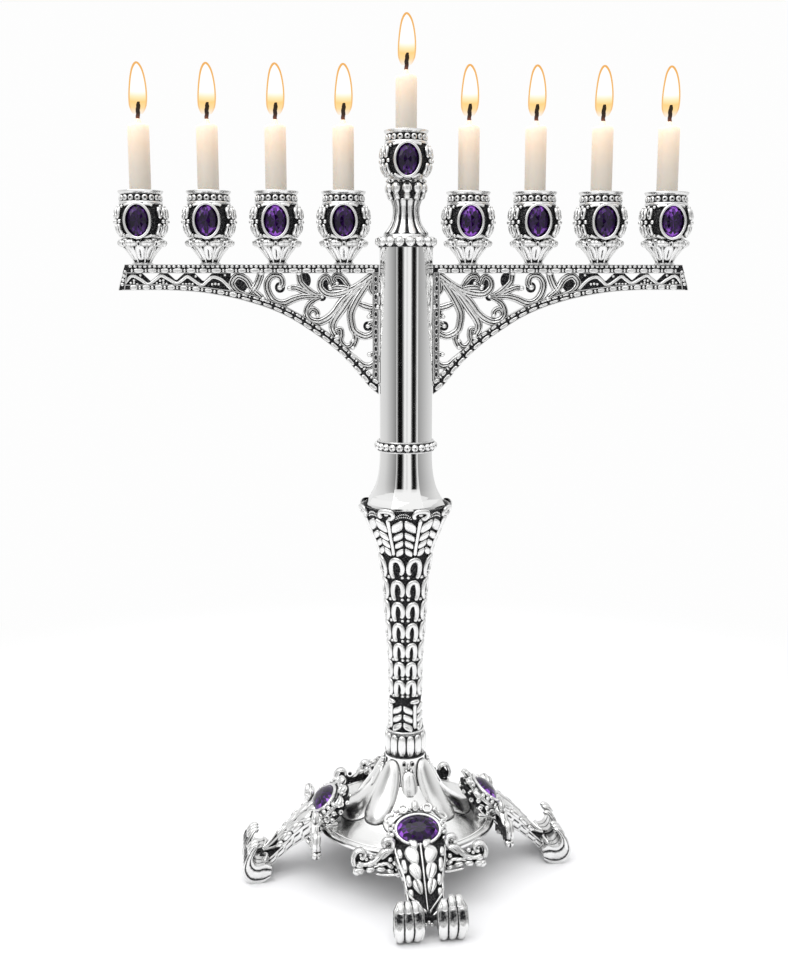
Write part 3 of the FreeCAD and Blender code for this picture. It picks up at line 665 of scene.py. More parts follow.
def arm_cup():
    g = bowl()
    z0 = -CUP_FOOT
    cone = [(3.0, 0, .2), (3.2, .8, .1), (3.7, 2.0, .05), (5.2, 4.4, .03), (6.8, 6.4, .03), (8.2, 7.9, .05),
            (9.2, 8.6, .6), (9.9, 9.1, 1), (10.0, 9.7, .9), (9.4, 10.3, .5), (8.7, 10.7, .1), (8.2, CUP_FOOT, .3)]
    cone = [(r, z0 + z, w) for r, z, w in cone]
    revolve(g, cone, 72)
    S = on_turned([r[1] for r in cone], [r[0] for r in cone])
    for k in range(8):
        a, b = TAU * k / 8, TAU * k / 8 + np.pi / 8
        # petal in outline with a slit, a leaf lip above it and a ridge between petals
        boss(g, local(S, a, z0 + 5.0), 0, 0.0, 1.75, 3.5, 0.75, leaf=-0.75, vein=0.8, nr=6, na=22)
        ridge(g, local(S, b, z0 + 4.6), [(0, -4.2), (0, -1.5), (0, 1.2), (0, 3.6)], (0.35, 0.55), 0.85)
        boss(g, local(S, b, z0 + 9.2), 0, 0.0, 3.1, 1.5, 1.0, nr=5, na=22, vein=0.35)
        boss(g, local(S, a, z0 + 9.0), 0, 0.1, 1.2, 1.1, 1.2, hole=0.35, **STUD)
        boss(g, local(S, a, -0.45), 0, 0, 1.6, 0.55, 0.7, **STUD)
    revolve(g, [(4.6, z0, .5), (4.6, z0 + .5, .9), (3.9, z0 + 1.0, .4), (3.1, z0 + 1.3, .1)], 40)
    return g


cup_mesh = arm_cup().mesh("arm_cup")
# three sets of cup stones, each with its own painted brightness
stone_meshes = [cup_stones(painted_light_gain).mesh("cup_stones_%d" % k, painted_facets=True) for k, painted_light_gain in enumerate((0.85, 1.35, 1.1))]
SIDES = ["%s_%d" % (side, k) for side in ("left", "right") for k in (1, 2, 3, 4)]
cup_base = foot("cup_left_1") + CUP_FOOT
centre_base = foot("cup_centre") + CENTRE_CUP_FOOT


def cup(s, mesh, stones, at):
    silver("silver_cup_" + s, mesh, "cup_" + s, at=at)
    piece("cut_stones_" + s, stones, STONE, STAND, "purple_stone", "stones_" + s, at=at)


for k, s in enumerate(SIDES):
    cup(s, cup_mesh, stone_meshes[k % 3], (mid_x("cup_" + s), 0, cup_base))
cup("centre", bowl().mesh("centre_cup"), stone_meshes[0], (0, 0, centre_base))


# ------------------------------------------------------------------ centre stem, from the cup down
def spool():
    g = Geo()
    prof = [(10.4, 0.0), (9.7, 1.2), (8.3, 2.8), (7.0, 4.7), (6.1, 7.0), (5.6, 10.5), (5.8, 13.3), (6.5, 15.4),
            (7.5, 17.2), (8.0, 18.6), (7.9, 22.2), (8.3, 24.2), (8.3, 25.0)]
    revolve(g, [(r, z, 0.04 if 0.5 < z < 24.2 else 0.8) for r, z in fine(prof, 0.5)], 72)
    S = on_turned([p[1] for p in prof], [p[0] for p in prof])
    flute = [(0, y) for y in (-7.6, -5.0, -2.0, 1.0, 4.5, 8.4)]
    for k in range(12):
        ridge(g, local(S, TAU * (k + 0.5) / 12, 8.0), flute, (1.9, 1.35, 1.0, 1.15, 1.5), 0.55, n=36, k=11, edge=0.22)
    for k in range(10):
        a = TAU * k / 10
        boss(g, local(S, a, 20.9), 0, 0, 2.15, 2.6, 1.9, nr=6, na=20, power=2.6)
        boss(g, local(S, a, 17.5), 0, 0, 1.7, 1.9, 1.2, nr=5, na=16, leaf=0.3)
        boss(g, local(S, a + np.pi / 10, 24.0), 0, 0, 1.9, 0.8, 1.0, nr=4, na=14, hole=0.4)
    return g


def column_cap():
    """Cap ringed with balls, each held in a small hoop."""
    g = Geo()
    revolve(g, [(3.2, 0, .3), (12.4, 0, .3), (12.6, .5, .1), (12.3, 1.6, .03), (11.0, 3.4, .03), (10.6, 4.4, .8),
                (10.4, 4.9, 1), (9.6, 5.0, .9), (3.2, 5.0, .5)], 80)
    balls, start = 16, 0.1
    bead_circle(g, 11.7, 2.45, 2.4, balls, start=start, n=16, m=11)
    for k in range(balls):
        a = start + TAU * k / balls
        d, e = polar(1.0, a, 0.0), np.array([math.cos(a), math.sin(a), 0.0])
        hoop = [d * 13.55 + (e * math.cos(t) + [0, 0, math.sin(t)]) * 1.25 + [0, 0, 2.5] for t in around(14)]
        sweep(g, hoop, 0.32, 0.42, up=d, n=20, k=8, closed=True, lo=0.6)
    return g


def column():
    """Eight polished faces, each very slightly crowned, with softened corners and a flared foot."""
    g = Geo()
    z_lo, z_hi = foot("column"), top("column")
    straight, flare_end = 207.0, 182.2
    st = np.asarray([(z_hi, 12.0), (straight, 12.0), (201.0, 12.02), (198.0, 12.15), (195.0, 12.4), (192.0, 12.85),
                     (189.0, 13.5), (186.5, 14.3), (184.2, 15.35), (flare_end, 16.4), (180.6, 17.35), (179.2, 18.1),
                     (z_lo, 18.5)])
    zz = np.concatenate([np.linspace(z_hi, straight, 14)[:-1], np.linspace(straight, flare_end, 40)[:-1],
                         np.linspace(flare_end, z_lo, 16)])
    r = np.interp(-zz, -st[:, 0], st[:, 1])
    soft = r.copy()
    soft[14:54] = np.convolve(r, np.array([1, 2, 1]) / 4, "same")[14:54]
    across = np.array([-0.985, -0.95, -0.8, -0.6, -0.4, -0.2, 0, 0.2, 0.4, 0.6, 0.8, 0.95, 0.985])
    rows = []
    for z, R in zip(zz, soft):
        half = R * math.tan(np.pi / 8)
        ring = []
        for f in range(8):
            a = f * np.pi / 4
            n, e = np.array([math.sin(a), -math.cos(a)]), np.array([math.cos(a), math.sin(a)])
            ring += [(*(n * (R - 0.26 * q * q * (R / 12.0)) + e * half * q), z) for q in across]
        rows.append(ring)
    g.grid(np.array(rows), 1.0, wrap=True, cap0=True)
    return g


def bead_ring():
    g = Geo()
    revolve(g, [(11.6, 0.2, .2), (13.0, 0.2, .6), (13.3, .9, .2), (13.2, 2.7, .05), (13.3, 4.5, .2), (13.0, 5.2, .7),
                (11.6, 5.2, .3)], 80)
    bead_circle(g, 13.0, 2.7, 1.75, 24, n=14, m=10, dot=0.42)
    return g


def chevrons(g, S, a, y, x, w, h, H, slant):
    """Pair of squared leaves that lean against each other."""
    for sx in (-1, 1):
        boss(g, local(S, a, y), sx * x, 0.0, w, h, H, shear=-sx * slant, nr=7, na=32, power=5, square=0.62, rim=0.1)


def calyx():
    g = Geo()
    zs = [0.0, 3.0, 6.0, 10.4, 15.2, 19.0, 21.4, 23.0, 23.6]
    rs = [12.0, 12.5, 13.5, 15.4, 17.3, 19.1, 20.2, 20.9, 21.0]
    prof = [(r - 0.3, z, 0.03) for r, z in fine(list(zip(rs, zs)), 0.6)]
    prof += [(20.6, 23.8, .5), (20.0, 23.6, .3), (19.2, 23.4, .1), (18.6, 22.6, .05)]
    revolve(g, prof, 120)
    S = on_turned(zs, rs)
    rib = [(0, -9.6), (0, -6), (0, 0), (0.1, 5), (0.2, 9.4)]
    scroll_tip = [(-2.2, -1.6), (-3.3, 0.2), (-2.4, 1.7), (0, 2.1), (2.6, 1.7), (3.4, 0.2), (2.2, -1.3), (0.4, -1.3)]
    for k in range(8):
        a0 = -0.10 + np.pi / 8 + TAU * k / 8
        ridge(g, local(S, a0, 10.5), rib, (0.95, 0.8, 0.85, 1.1), 1.3, n=30)
        # curled scroll tip at the head of each rib
        T = local(S, a0, 21.6)
        ridge(g, T, scroll_tip, (0.9, 1.15, 1.0), 1.5, n=34)
        boss(g, T, 0, 0.3, 1.2, 0.7, 0.9, nr=4, na=14)
        m0 = a0 + np.pi / 8
        for y, h in ((2.9, 1.75), (6.9, 1.65), (10.9, 1.75), (15.9, 2.6)):
            w = (S.radius(y) * np.pi / 8 - 1.15) / 2 - 0.10
            chevrons(g, S, m0, y, w + 0.24, w, h, 1.05, 0.45)
        # two arcs of fine beading under the lip
        for j in range(-4, 5):
            x = j * 0.85
            boss(g, local(S, m0, 20.4), x, -0.06 * j ** 2 + 0.6, 0.36, 0.42, 0.5, nr=3, na=8)
            boss(g, local(S, m0, 21.6), x * 0.9, -0.08 * j ** 2 + 0.7, 0.33, 0.36, 0.4, nr=3, na=8)
    return g


def stem():
    g = Geo()
    zs = [0.0, 1.5, 3.0, 14.0, 15.4, 16.6, 18.0, 34.0, 49.0, 63.0, 74.0, 82.5, 85.4, 87.0]
    rs = [8.2, 8.4, 7.6, 7.5, 8.0, 8.0, 7.3, 7.5, 8.5, 9.4, 10.0, 11.3, 12.0, 12.2]
    zz = np.linspace(0, 87, 150)
    rr = np.convolve(np.pad(np.interp(zz, zs, rs), 2, mode="edge"), np.ones(5) / 5, "valid")
    revolve(g, [(r - 0.25, z, 0.02) for r, z in zip(rr, zz)], 88)
    S = on_turned(zz, rr)
    # keyhole arch: both legs of the loop turn in over a blackened slot
    arch = [(-.36, -.46), (-.66, -.22), (-.70, .08), (-.46, .31), (0, .39), (.46, .31), (.70, .08), (.62, -.15),
            (.28, -.25)]
    y = 17.6
    for h in np.linspace(8.9, 11.3, 7):
        c = y + h / 2
        w = S.radius(c) * np.pi / 8 - 0.45
        for k in range(8):
            sx = 1 if k % 2 else -1
            a = -0.06 + np.pi / 8 + TAU * k / 8 + sx * 0.03
            P = local(S, a, c)
            line = [(sx * w * u, h * v) for u, v in arch]
            ridge(g, P, line, (0.9, 1.25, 1.32, 1.25, 1.0), 1.15, n=48, k=11, edge=0.22)
            boss(g, P, sx * w * .62, -h * .38, 0.85, 0.8, 0.9, **STUD)
            boss(g, local(S, a - sx * np.pi / 8, c), 0, -h * .40, 0.62, 0.8, 0.8, **STUD)
        y += h * 0.985
    # leaf band below: four ribs with rows of chevron leaves between them
    for k in range(4):
        a = math.radians(32 + 90 * k)
        ridge(g, local(S, a, 8.5), [(0, -6.6), (0, -2), (0, 2), (0, 6.2)], 0.95, 1.0, n=22)
        boss(g, local(S, a, 15.7), 0, 0, 2.6, 1.2, 1.3, nr=5, na=16)
        for row in range(3):
            chevrons(g, S, a + np.pi / 4, 3.3 + 4.15 * row, 2.62, 2.34, 1.72, 0.95, 0.5)
    sweep(g, polar(8.7, around(40), 0.7), 0.5, 0.5, up=(0, 0, 1), n=80, k=10, closed=True, lo=0.5)
    return g


def collar():
    """Ring of upright pods, each with a dark eye."""
    g = Geo()
    revolve(g, [(7.0, 0, .1), (9.2, 0, .4), (9.3, .6, .1), (8.6, 1.6, .02), (8.4, 6, .02), (8.6, 10.2, .02),
                (8.7, 11.2, .3), (8.2, 12, .4), (6.5, 12, .2)], 80)
    zs, rs = [0, 2, 10, 12], [9.0, 8.6, 8.6, 8.4]
    S, pod_top = on_turned(zs, rs), on_turned(zs, rs, lift=1.42)
    for k in range(14):
        th = TAU * (k + 0.5) / 14
        boss(g, local(S, th, 6.1), 0, 0, 1.88, 5.5, 1.55, nr=7, na=30, power=4.2, rim=0.08, square=0.8)
        boss(g, local(pod_top, th, 6.6), 0, 0, 0.55, 1.3, 0.16, nr=4, na=14, hole=1.4, base=0.0)
    return g


def stem_piece(name, geo, node):
    silver("silver_" + name, geo.mesh(name), node, foot(node))


stem_piece("spool", spool(), "centre_spool")
stem_piece("cap", column_cap(), "column_cap")
piece("polished_column", column().mesh("column", sharp=30), POLISH, STAND, "polished_silver", "column")
stem_piece("bead_ring", bead_ring(), "column_bead_ring")
stem_piece("calyx", calyx(), "calyx")
stem_piece("stem", stem(), "patterned_stem")
stem_piece("collar", collar(), "stem_collar")


# ------------------------------------------------------------------ base
def dome():
    g = Geo()
    bell = [(9.6, 56.0), (10.0, 52.5), (11.6, 47.5), (14.4, 42.3), (18.2, 36.8), (23.0, 31.8), (27.6, 28.6),
            (31.5, 26.9), (36.5, 26.0), (40.8, 25.75)]
    revolve(g, [(7.0, 55.9, .05), (9.0, 55.9, .05)] + [(r, z, 0.9) for r, z in smooth_line(bell, 70)]
            + [(41.0, 25.4, .1)], 160)
    S = along(bell)
    for k in range(4):
        a = TURN + k * QUARTER
        # broad petal over the leg, with a slit tongue above it
        boss(g, local(S, a, 25.5), 0, 0, 9.6, 13.5, 1.3, leaf=-0.9, nr=14, na=72, power=6.0, rim=0.05, base=-0.1,
             lip=1.0, square=0.8)
        boss(g, local(S, a, 12.2), 0, 0, 3.0, 7.0, 2.1, leaf=-0.55, nr=12, na=52, power=3.2, rim=0.08, lip=1.0,
             square=0.85)
        slit = [(0, -3.6), (0, -1), (0, 1.6), (0, 3.4)]
        ridge(g, local(S, a, 10.6), slit, (0.42, 0.34), 2.45, n=20, edge=0.01, base=1.2)
        # pear-shaped lobe between the legs
        boss(g, local(S, a + np.pi / 4, 17.2), 0, 0, 4.7, 16.6, 3.6, leaf=-0.95, nr=18, na=80, power=3.0, rim=0.045,
             base=-0.2, lip=1.0, square=0.82)
    return g


def dome_curls():
    """Blackened piercings and small curls under the collar, above each tongue."""
    g = Geo()
    S = along([(10.0, 56.0), (10.4, 52.5), (12.0, 47.5), (14.8, 42.3)])
    for k in range(4):
        P = local(S, TURN + k * QUARTER, 2.2)
        for sx in (-1, 1):
            boss(g, P, sx * 2.0, 0.2, 1.05, 1.3, 0.9, nr=5, na=18, hole=0.85, rim=0.2)
            boss(g, P, sx * 1.0, 3.2, 0.7, 1.2, 1.5, rot=sx * 0.3, **STUD)
            boss(g, P, sx * 2.2, 3.6, 0.45, 0.9, 1.2, nr=3, na=10, rot=-sx * 0.4)
        boss(g, P, 0, 1.4, 0.55, 1.6, 1.4, **STUD)
    return g


def plate():
    g = Geo()
    revolve(g, [(20.0, 25.3, .5), (36.0, 25.5, .95), (42.2, 25.5, 1), (42.9, 25.35, .8), (43.3, 24.9, 1),
                (43.5, 24.2, 1), (43.5, 23.5, .9), (43.2, 22.9, .6), (42.4, 22.5, .25), (8.0, 22.5, .2),
                (3.3, 22.5, .1)], 160)
    return g


piece("polished_dome", dome().mesh("dome", sharp=60), SOFT_POLISH, STAND, "polished_silver", "base_dome")
silver("silver_dome_curls", dome_curls().mesh("dome_curls"), "base_dome")
piece("polished_plate", plate().mesh("plate", sharp=35), SOFT_POLISH, STAND, "polished_silver", "base_plate")


def on_strip(line, crown, half):
    """Maps (tangential, distance along, height) onto a strip that runs outwards and down from the stem."""
    length, look = follow(np.asarray(line, float))

    def at(x, y, h):
        r, z, tr, tz = look(y)
        H = h + crown * (1 - (x / half) ** 2)
        return np.stack([x + 0 * r, -(r - tz * H), z + tr * H], -1)
    at.length = length
    return at


def pod(g, p0, p1, w, d, up, lo=0.1):
    """Small swelling segment between two points."""
    p0, p1 = np.asarray(p0, float), np.asarray(p1, float)
    swell = np.array([0.45, 0.9, 1, 0.9, 0.45])
    sweep(g, [p0 + (p1 - p0) * t for t in (0, 0.15, 0.5, 0.85, 1)], w * swell, d * swell, up=up, n=14, k=12, lo=lo)


SETTING_TILT, SETTING_AT = math.radians(40), (-39.0, 33.6)
LEG_STONE_RISE = 2.0


def closed_bar(g, outer, inner, half, c, rise, wear_out, wear_in, bars):
    """Bar with a carved outer face, a plain inner face and side walls with a bright bar, slit where bars is 1."""
    v = np.linspace(-1, 1, rise.shape[1])
    nrm = unit(outer - inner)
    O = np.stack([c + half[:, None] * v, -(outer[:, None, 0] + nrm[:, None, 0] * rise),
            outer[:, None, 1] + nrm[:, None, 1] * rise], -1)
    w = v[::-1]
    I = np.stack([c + half[:, None] * 0.95 * w, -(inner[:, None, 0] + 0 * w), inner[:, None, 1] + 0 * w], -1)
    f = np.array([0.10, 0.22, 0.5, 0.78, 0.90])[None, :, None]
    puff = np.array([0.0, 0.45, 0.75, 0.45, 0.0])
    plain, slit = np.array([0.85, 0.1, 0.9, 0.1, 0.85]), np.array([0.85, 0.9, 0.15, 0.9, 0.85])
    A1 = plain[None] * (1 - bars[:, None]) + slit[None] * bars[:, None]

    def wall(a, b, sgn):
        q = a[:, None] * (1 - f) + b[:, None] * f
        q[..., 0] += sgn * puff
        return q
    P = np.concatenate([O, wall(O[:, -1], I[:, 0], 1), I, wall(I[:, -1], O[:, 0], -1)], 1)
    P[..., 2] = np.maximum(P[..., 2], 0.03)
    g.tube(P, np.clip(np.concatenate([wear_out, A1, wear_in, A1], 1), 0, 1))


def limb(g):
    """Bowed limb of a leg, from its root under the stone down to the claw."""
    n, m = 72, 33
    up = smooth_line([(39.5, 30.5), (44.2, 30.2), (47.6, 28.0), (52.8, 23.6), (58.2, 17.9), (62.6, 13.0), (66.6, 9.6),
            (70.6, 8.0)], n)
    low = smooth_line([(40.5, 26.4), (43.8, 24.6), (45.4, 22.2), (49.8, 18.8), (55.6, 14.4), (61.2, 9.6), (65.8, 5.6),
            (69.6, 3.6)], n)
    u = np.linspace(0, 1, n)
    hw = np.interp(u, [0, .22, .34, .5, .75, 1], [11.6, 11.6, 10.6, 8.8, 8.1, 8.4])
    v = np.linspace(-1, 1, m)
    rise = np.broadcast_to(0.9 * (1 - v ** 2) - 0.35 * np.exp(-((np.abs(v) - 0.76) / 0.05) ** 2), (n, m))
    wear_and_painted_light = np.broadcast_to(np.where(np.abs(v) > 0.955, 0.95, 0.05), (n, m))
    closed_bar(g, up, low, hw, 0.0, rise, wear_and_painted_light, np.full((n, m), 0.4), np.sin(np.pi * 7 * u) ** 10)
    S = on_strip(up, 0.9, 10.0)
    L = S.length
    ridge(g, S, [(0, 5.5), (0, 12), (0, 20), (0, 28), (0, L - 2.5)], (0.62, 0.55, 0.5, 0.4), 1.5, n=60, k=7)
    # pairs of leaves spreading up and out from the cord
    leaves = ((5.2, 3.0, 2.7, 3.6, 0.0), (11.2, 4.05, 3.95, 4.9, 0.0), (18.4, 3.45, 3.35, 4.3, 0.35),
              (25.0, 2.95, 2.8, 3.8, 0.55))
    for y, x, rx, ry, vein in leaves:
        for sx in (-1, 1):
            boss(g, S, sx * x, y, rx, ry, 1.5, rot=sx * 0.30, leaf=0.42, nr=8, na=36, power=3.4, vein=vein, rim=0.07)
    # corded edges in long segments inside a thin bright rim
    for sx in (-1, 1):
        for y, ry in ((9.6, 2.4), (15.6, 3.3), (22.2, 2.8), (27.6, 2.0)):
            h = np.interp(y / L, u, hw)
            boss(g, S, sx * (h - 1.75), y, 1.2, ry, 1.5, rot=sx * 0.10, nr=6, na=24, power=3.6, square=0.8, rim=0.08)
        # ridges that run together between the toes
        ridge(g, S, [(sx * 7.6, L - 11.5), (sx * 5.4, L - 8.6), (sx * 2.6, L - 5.0), (sx * 0.6, L - 1.6)], 0.55, 1.7,
                n=26, k=7)


def toe(g, t0, t1, tall):
    """Claw of three fingers that curl up into a hollow fist; tall lifts the two outer fingers."""
    n, m = 60, 43
    outer = smooth_line([(66.6, 2.6), (70.2, 0.5), (74.2, 0.3), (77.4, 2.2), (79.1, 6.0), (79.0, 10.2), (77.2, 14.2),
            (74.0, 17.6), (72.6, 18.0)], n)
    inner = smooth_line([(65.8, 7.6), (68.2, 9.1), (70.8, 8.7), (73.0, 9.0), (74.5, 10.8), (74.9, 13.0), (74.0, 15.2),
            (72.6, 16.9), (72.2, 17.4)], n)
    u = np.linspace(0, 1, n)
    v = np.linspace(0, 1, m)
    c, w = (t0 + t1) / 2, (t1 - t0) / 2
    half = w * np.interp(u, [0, 0.25, 0.55, 0.85, 1], [0.70, 0.76, 1.0, 0.94, 0.6])
    on = np.interp(u, [0, 0.15, 0.3, 0.97, 1], [0.2, 0.6, 1, 1, 0.4])[:, None]
    fingers = (np.abs(np.sin(3 * np.pi * v)) ** 0.66)[None]
    fingers = np.where((v[None] < 0.04) | (v[None] > 0.96), 0.75, fingers)
    hollow = np.exp(-((u - 0.74) / 0.115) ** 4)[:, None] * np.clip(fingers * 1.6 - 0.7, 0, 1)
    rise = on * (fingers * 1.2 - 0.7) * (1 - 0.5 * hollow) - 1.15 * hollow
    side = np.sign(c)
    outer_fingers = np.clip((v * side - (0.30 if side > 0 else -0.70)) / 0.08, 0, 1)
    lift = tall * outer_fingers[None] * np.clip((u - 0.55) / 0.35, 0, 1)[:, None]
    rise = rise + 0.5 * lift
    wear_out = np.clip(0.04 + 1.05 * np.broadcast_to(fingers, (n, m)) ** 1.3 - 1.02 * hollow, 0, 1)
    wear_in = np.broadcast_to(0.15 + 0.5 * fingers, (n, m))
    closed_bar(g, outer, inner, half, c, rise, wear_out, wear_in, 0 * u)
    # finger tips along the rim
    for k in range(3):
        t = c + w * (2 * (k + 0.5) / 3 - 1) * 0.74
        z = 16.9 + (tall if (t - c) * side > -w * 0.3 else 0)
        sweep(g, [(t, -76.6, z - 3.2), (t, -74.9, z - 0.7), (t, -72.8, z + 0.3), (t, -71.9, z - 1.0)],
                (1.5, 1.6, 1.25), 1.2, up=(0, -0.6, 1), n=18, k=14, lo=0.5)


def wing(g, sx):
    """Scrolled bracket beside the limb, on the side sx."""
    def p(t, z, r=45.6):
        return (sx * t, -r, z)
    # blackened backing
    upper = smooth_line([(7.0, 27.4), (12.0, 26.6), (17.0, 27.0), (22.0, 25.0), (27.0, 27.2), (29.0, 25.6)], 30)
    lower = smooth_line([(7.0, 15.5), (10.0, 17.0), (15.0, 19.2), (21.0, 19.6), (27.0, 19.4), (29.0, 21.2)], 30)
    rows = []
    for (tu, zu), (tl, zl) in zip(upper, lower):
        rows.append([(sx * tu, -45.4, zu), (sx * tl, -45.4, zl), (sx * tl, -43.6, zl), (sx * tu, -43.6, zu)])
    P = np.array(rows)
    g.tube(P[:, ::-1] if sx < 0 else P, 0.05)
    up = (0, -1, 0)
    # corded lower band in swelling segments that thicken to a split tip
    line = [(9.2, 15.4), (11.6, 17.8), (15.4, 19.6), (20.2, 20.4), (25.0, 19.8), (29.6, 19.9)]
    for (ta, za), (tb, zb), w in zip(line[:-1], line[1:], (1.1, 1.25, 1.4, 1.6, 1.9)):
        pod(g, p(ta, za), p(tb, zb), w, 2.3, up)
        pod(g, p(ta + 0.3, za + 2.3), p(tb - 0.1, zb + 2.3 + 0.3 * (w > 1.5)), w * 0.7, 2.1, up)
    pod(g, p(27.2, 18.3), p(30.4, 20.6), 1.9, 2.4, up)
    # running scroll with a curl at the tip and a volute against the stone
    scrolls = (([(29.6, 22.0), (30.4, 25.4), (29.0, 28.6), (26.6, 29.3), (25.0, 27.6), (26.0, 25.8), (27.6, 26.4)],
            (1.2, 1.15, 0.9), 2.0), ([(28.6, 24.0), (25.2, 22.8), (21.6, 23.6), (18.8, 25.6), (16.6, 28.0),
            (14.6, 28.6), (12.6, 27.2)], (1.1, 1.4, 1.1), 2.0), ([(18.0, 24.8), (15.4, 26.6), (12.4, 29.6),
            (12.8, 32.6), (15.2, 33.2), (16.6, 31.2), (15.2, 29.9)], (0.9, 1.25,
            1.1), 1.6), ([(12.2, 20.4), (14.6, 22.4), (18.2, 22.4), (21.6, 21.6)], (0.8, 1.0, 0.6), 1.8))
    for pts, w, d in scrolls:
        sweep(g, [p(t, z, 45.6 - 0.12 * max(0, z - 26)) for t, z in pts], w, d, up=up, n=44, k=16, lo=0.3, groove=0.25)
    bead(g, p(15.0, 31.4, 44.6), 0.9, axis=up)
    bead(g, p(26.9, 27.2), 0.9, axis=up)
    for t, z, r in ((11.4, 22.6, 1.4), (13.6, 24.4, 1.2), (9.4, 25.8, 1.3), (22.4, 26.4, 1.1), (24.4, 25.2, 0.9),
            (20.4, 23.0, 0.9)):
        bead(g, p(t, z, 46.4), r, axis=up)
    # bright rim that sweeps from the limb's edge out under the wing
    sweep(g, [(sx * 8.0, -60.5, 14.6), (sx * 8.4, -55.0, 18.4), (sx * 9.2, -50.6, 20.0), (sx * 11.4, -47.6, 17.6),
            (sx * 15.6, -46.6, 17.2), (sx * 20.4, -46.4, 18.0)], (0.7, 0.8, 0.6), (1.4, 1.2), up=(0, -1,
            0.3), n=50, k=12, lo=0.6)


def cartouche(g):
    """Stone setting on the tilted face above the limb, drawn flat and tipped into place."""
    c = Geo()
    up = (0, 0, 1)
    drum = ((12.8, 10.4, -6.0), (12.3, 9.8, -3.0), (11.7, 8.9, -1.0), (10.9, 8.0, 0.4), (9.6, 6.8, 0.8),
            (9.4, 6.6, -0.6))
    c.grid(np.array([oval(rx, ry, 72, h) for rx, ry, h in drum]), np.array([.03, .03, .05, .3, .3, .02])[:, None],
           wrap=True)
    for rx, ry, h, w in ((10.2, 7.3, 1.5, 0.85), (12.5, 9.8, -0.9, 0.75)):
        sweep(c, oval(rx, ry, 48, h), w, 1.0, up=up, n=72, k=12, closed=True, lo=0.35)
    # blackened ground behind the crown
    ground = ((9.0, 7.0, -3.6), (11.4, 10.2, -3.4), (11.8, 10.6, -2.8), (11.4, 10.2, -2.2), (8.0, 6.0, -2.0))
    c.grid(np.stack([oval(rx, ry, 60, h) + [0, 1.9, 0] for rx, ry, h in ground]), 0.04, wrap=True)
    # beaded frieze round the drum under the bezel
    for k in range(24):
        t = TAU * (k + 0.5) / 24
        ct, st = math.cos(t), math.sin(t)
        bead(c, (12.7 * ct, 10.2 * st, -2.9 - 2.1 * (k % 2)), 1.35, axis=(ct, st, 0), dot=0.4 if k % 2 else 0.0)
    # crown of one spike and two open rings
    pod(c, (0, 8.6, 0.6), (0, 14.4, 1.8), 1.7, 1.6, up)
    pod(c, (0, 9.6, 1.8), (0, 13.6, 2.6), 0.6, 1.0, up)
    for sx in (-1, 1):
        pod(c, (sx * 2.4, 9.0, 0.6), (sx * 3.2, 12.0, 1.4), 0.85, 1.2, up)
        circ = [(sx * 5.6 + 1.9 * math.cos(t), 10.6 + 1.9 * math.sin(t), 0.6) for t in around(14)]
        sweep(c, circ, 0.72, 1.1, up=up, n=30, k=10, closed=True, lo=0.3)
        pod(c, (sx * 7.9, 9.0, 0.4), (sx * 10.2, 10.8, 0.6), 0.95, 1.2, up)
        # double knuckles at both ends of the stone, with a short curl outside them
        for y, z in ((3.8, 0.9), (1.0, 1.1), (-1.8, 1.1), (-4.4, 0.7)):
            pod(c, (sx * 10.6, y, z), (sx * 13.6, y + 0.5, z - 1.2), 1.15, 1.2, up)
        bead(c, (sx * 10.9, 2.4, 1.7), 1.1, axis=up)
        bead(c, (sx * 10.9, -0.4, 1.7), 1.1, axis=up)
        for pts in ([(11.6, -5.6, 0.2), (13.8, -5.2, -0.4), (15.0, -6.8, -1.0), (13.8, -8.6, -1.4),
                (11.8, -8.2, -1.2), (12.0, -6.8, -0.8)], [(9.8, 8.2, 0.2), (12.6, 8.2, -0.4), (14.2, 6.2, -0.8),
                (12.8, 4.8, -0.6)], [(3.0, -9.8, -0.6), (5.4, -10.9, -1.2), (7.6, -10.4, -1.4), (8.4, -8.8, -1.0)]):
            sweep(c, [(sx * x, y, z) for x, y, z in pts], (1.0, 0.85), 1.2, up=up, n=26, lo=0.3)
    g.join(tipped(c))


def tipped(flat):
    """Carry a flat drawing onto the tilted face above the limb."""
    c, s = math.cos(SETTING_TILT), math.sin(SETTING_TILT)
    y0, z0 = SETTING_AT
    return flat.carried(lambda P: np.stack([P[:, 0], y0 + P[:, 1] * c - P[:, 2] * s, z0 + P[:, 1] * s + P[:, 2] * c],
            1))


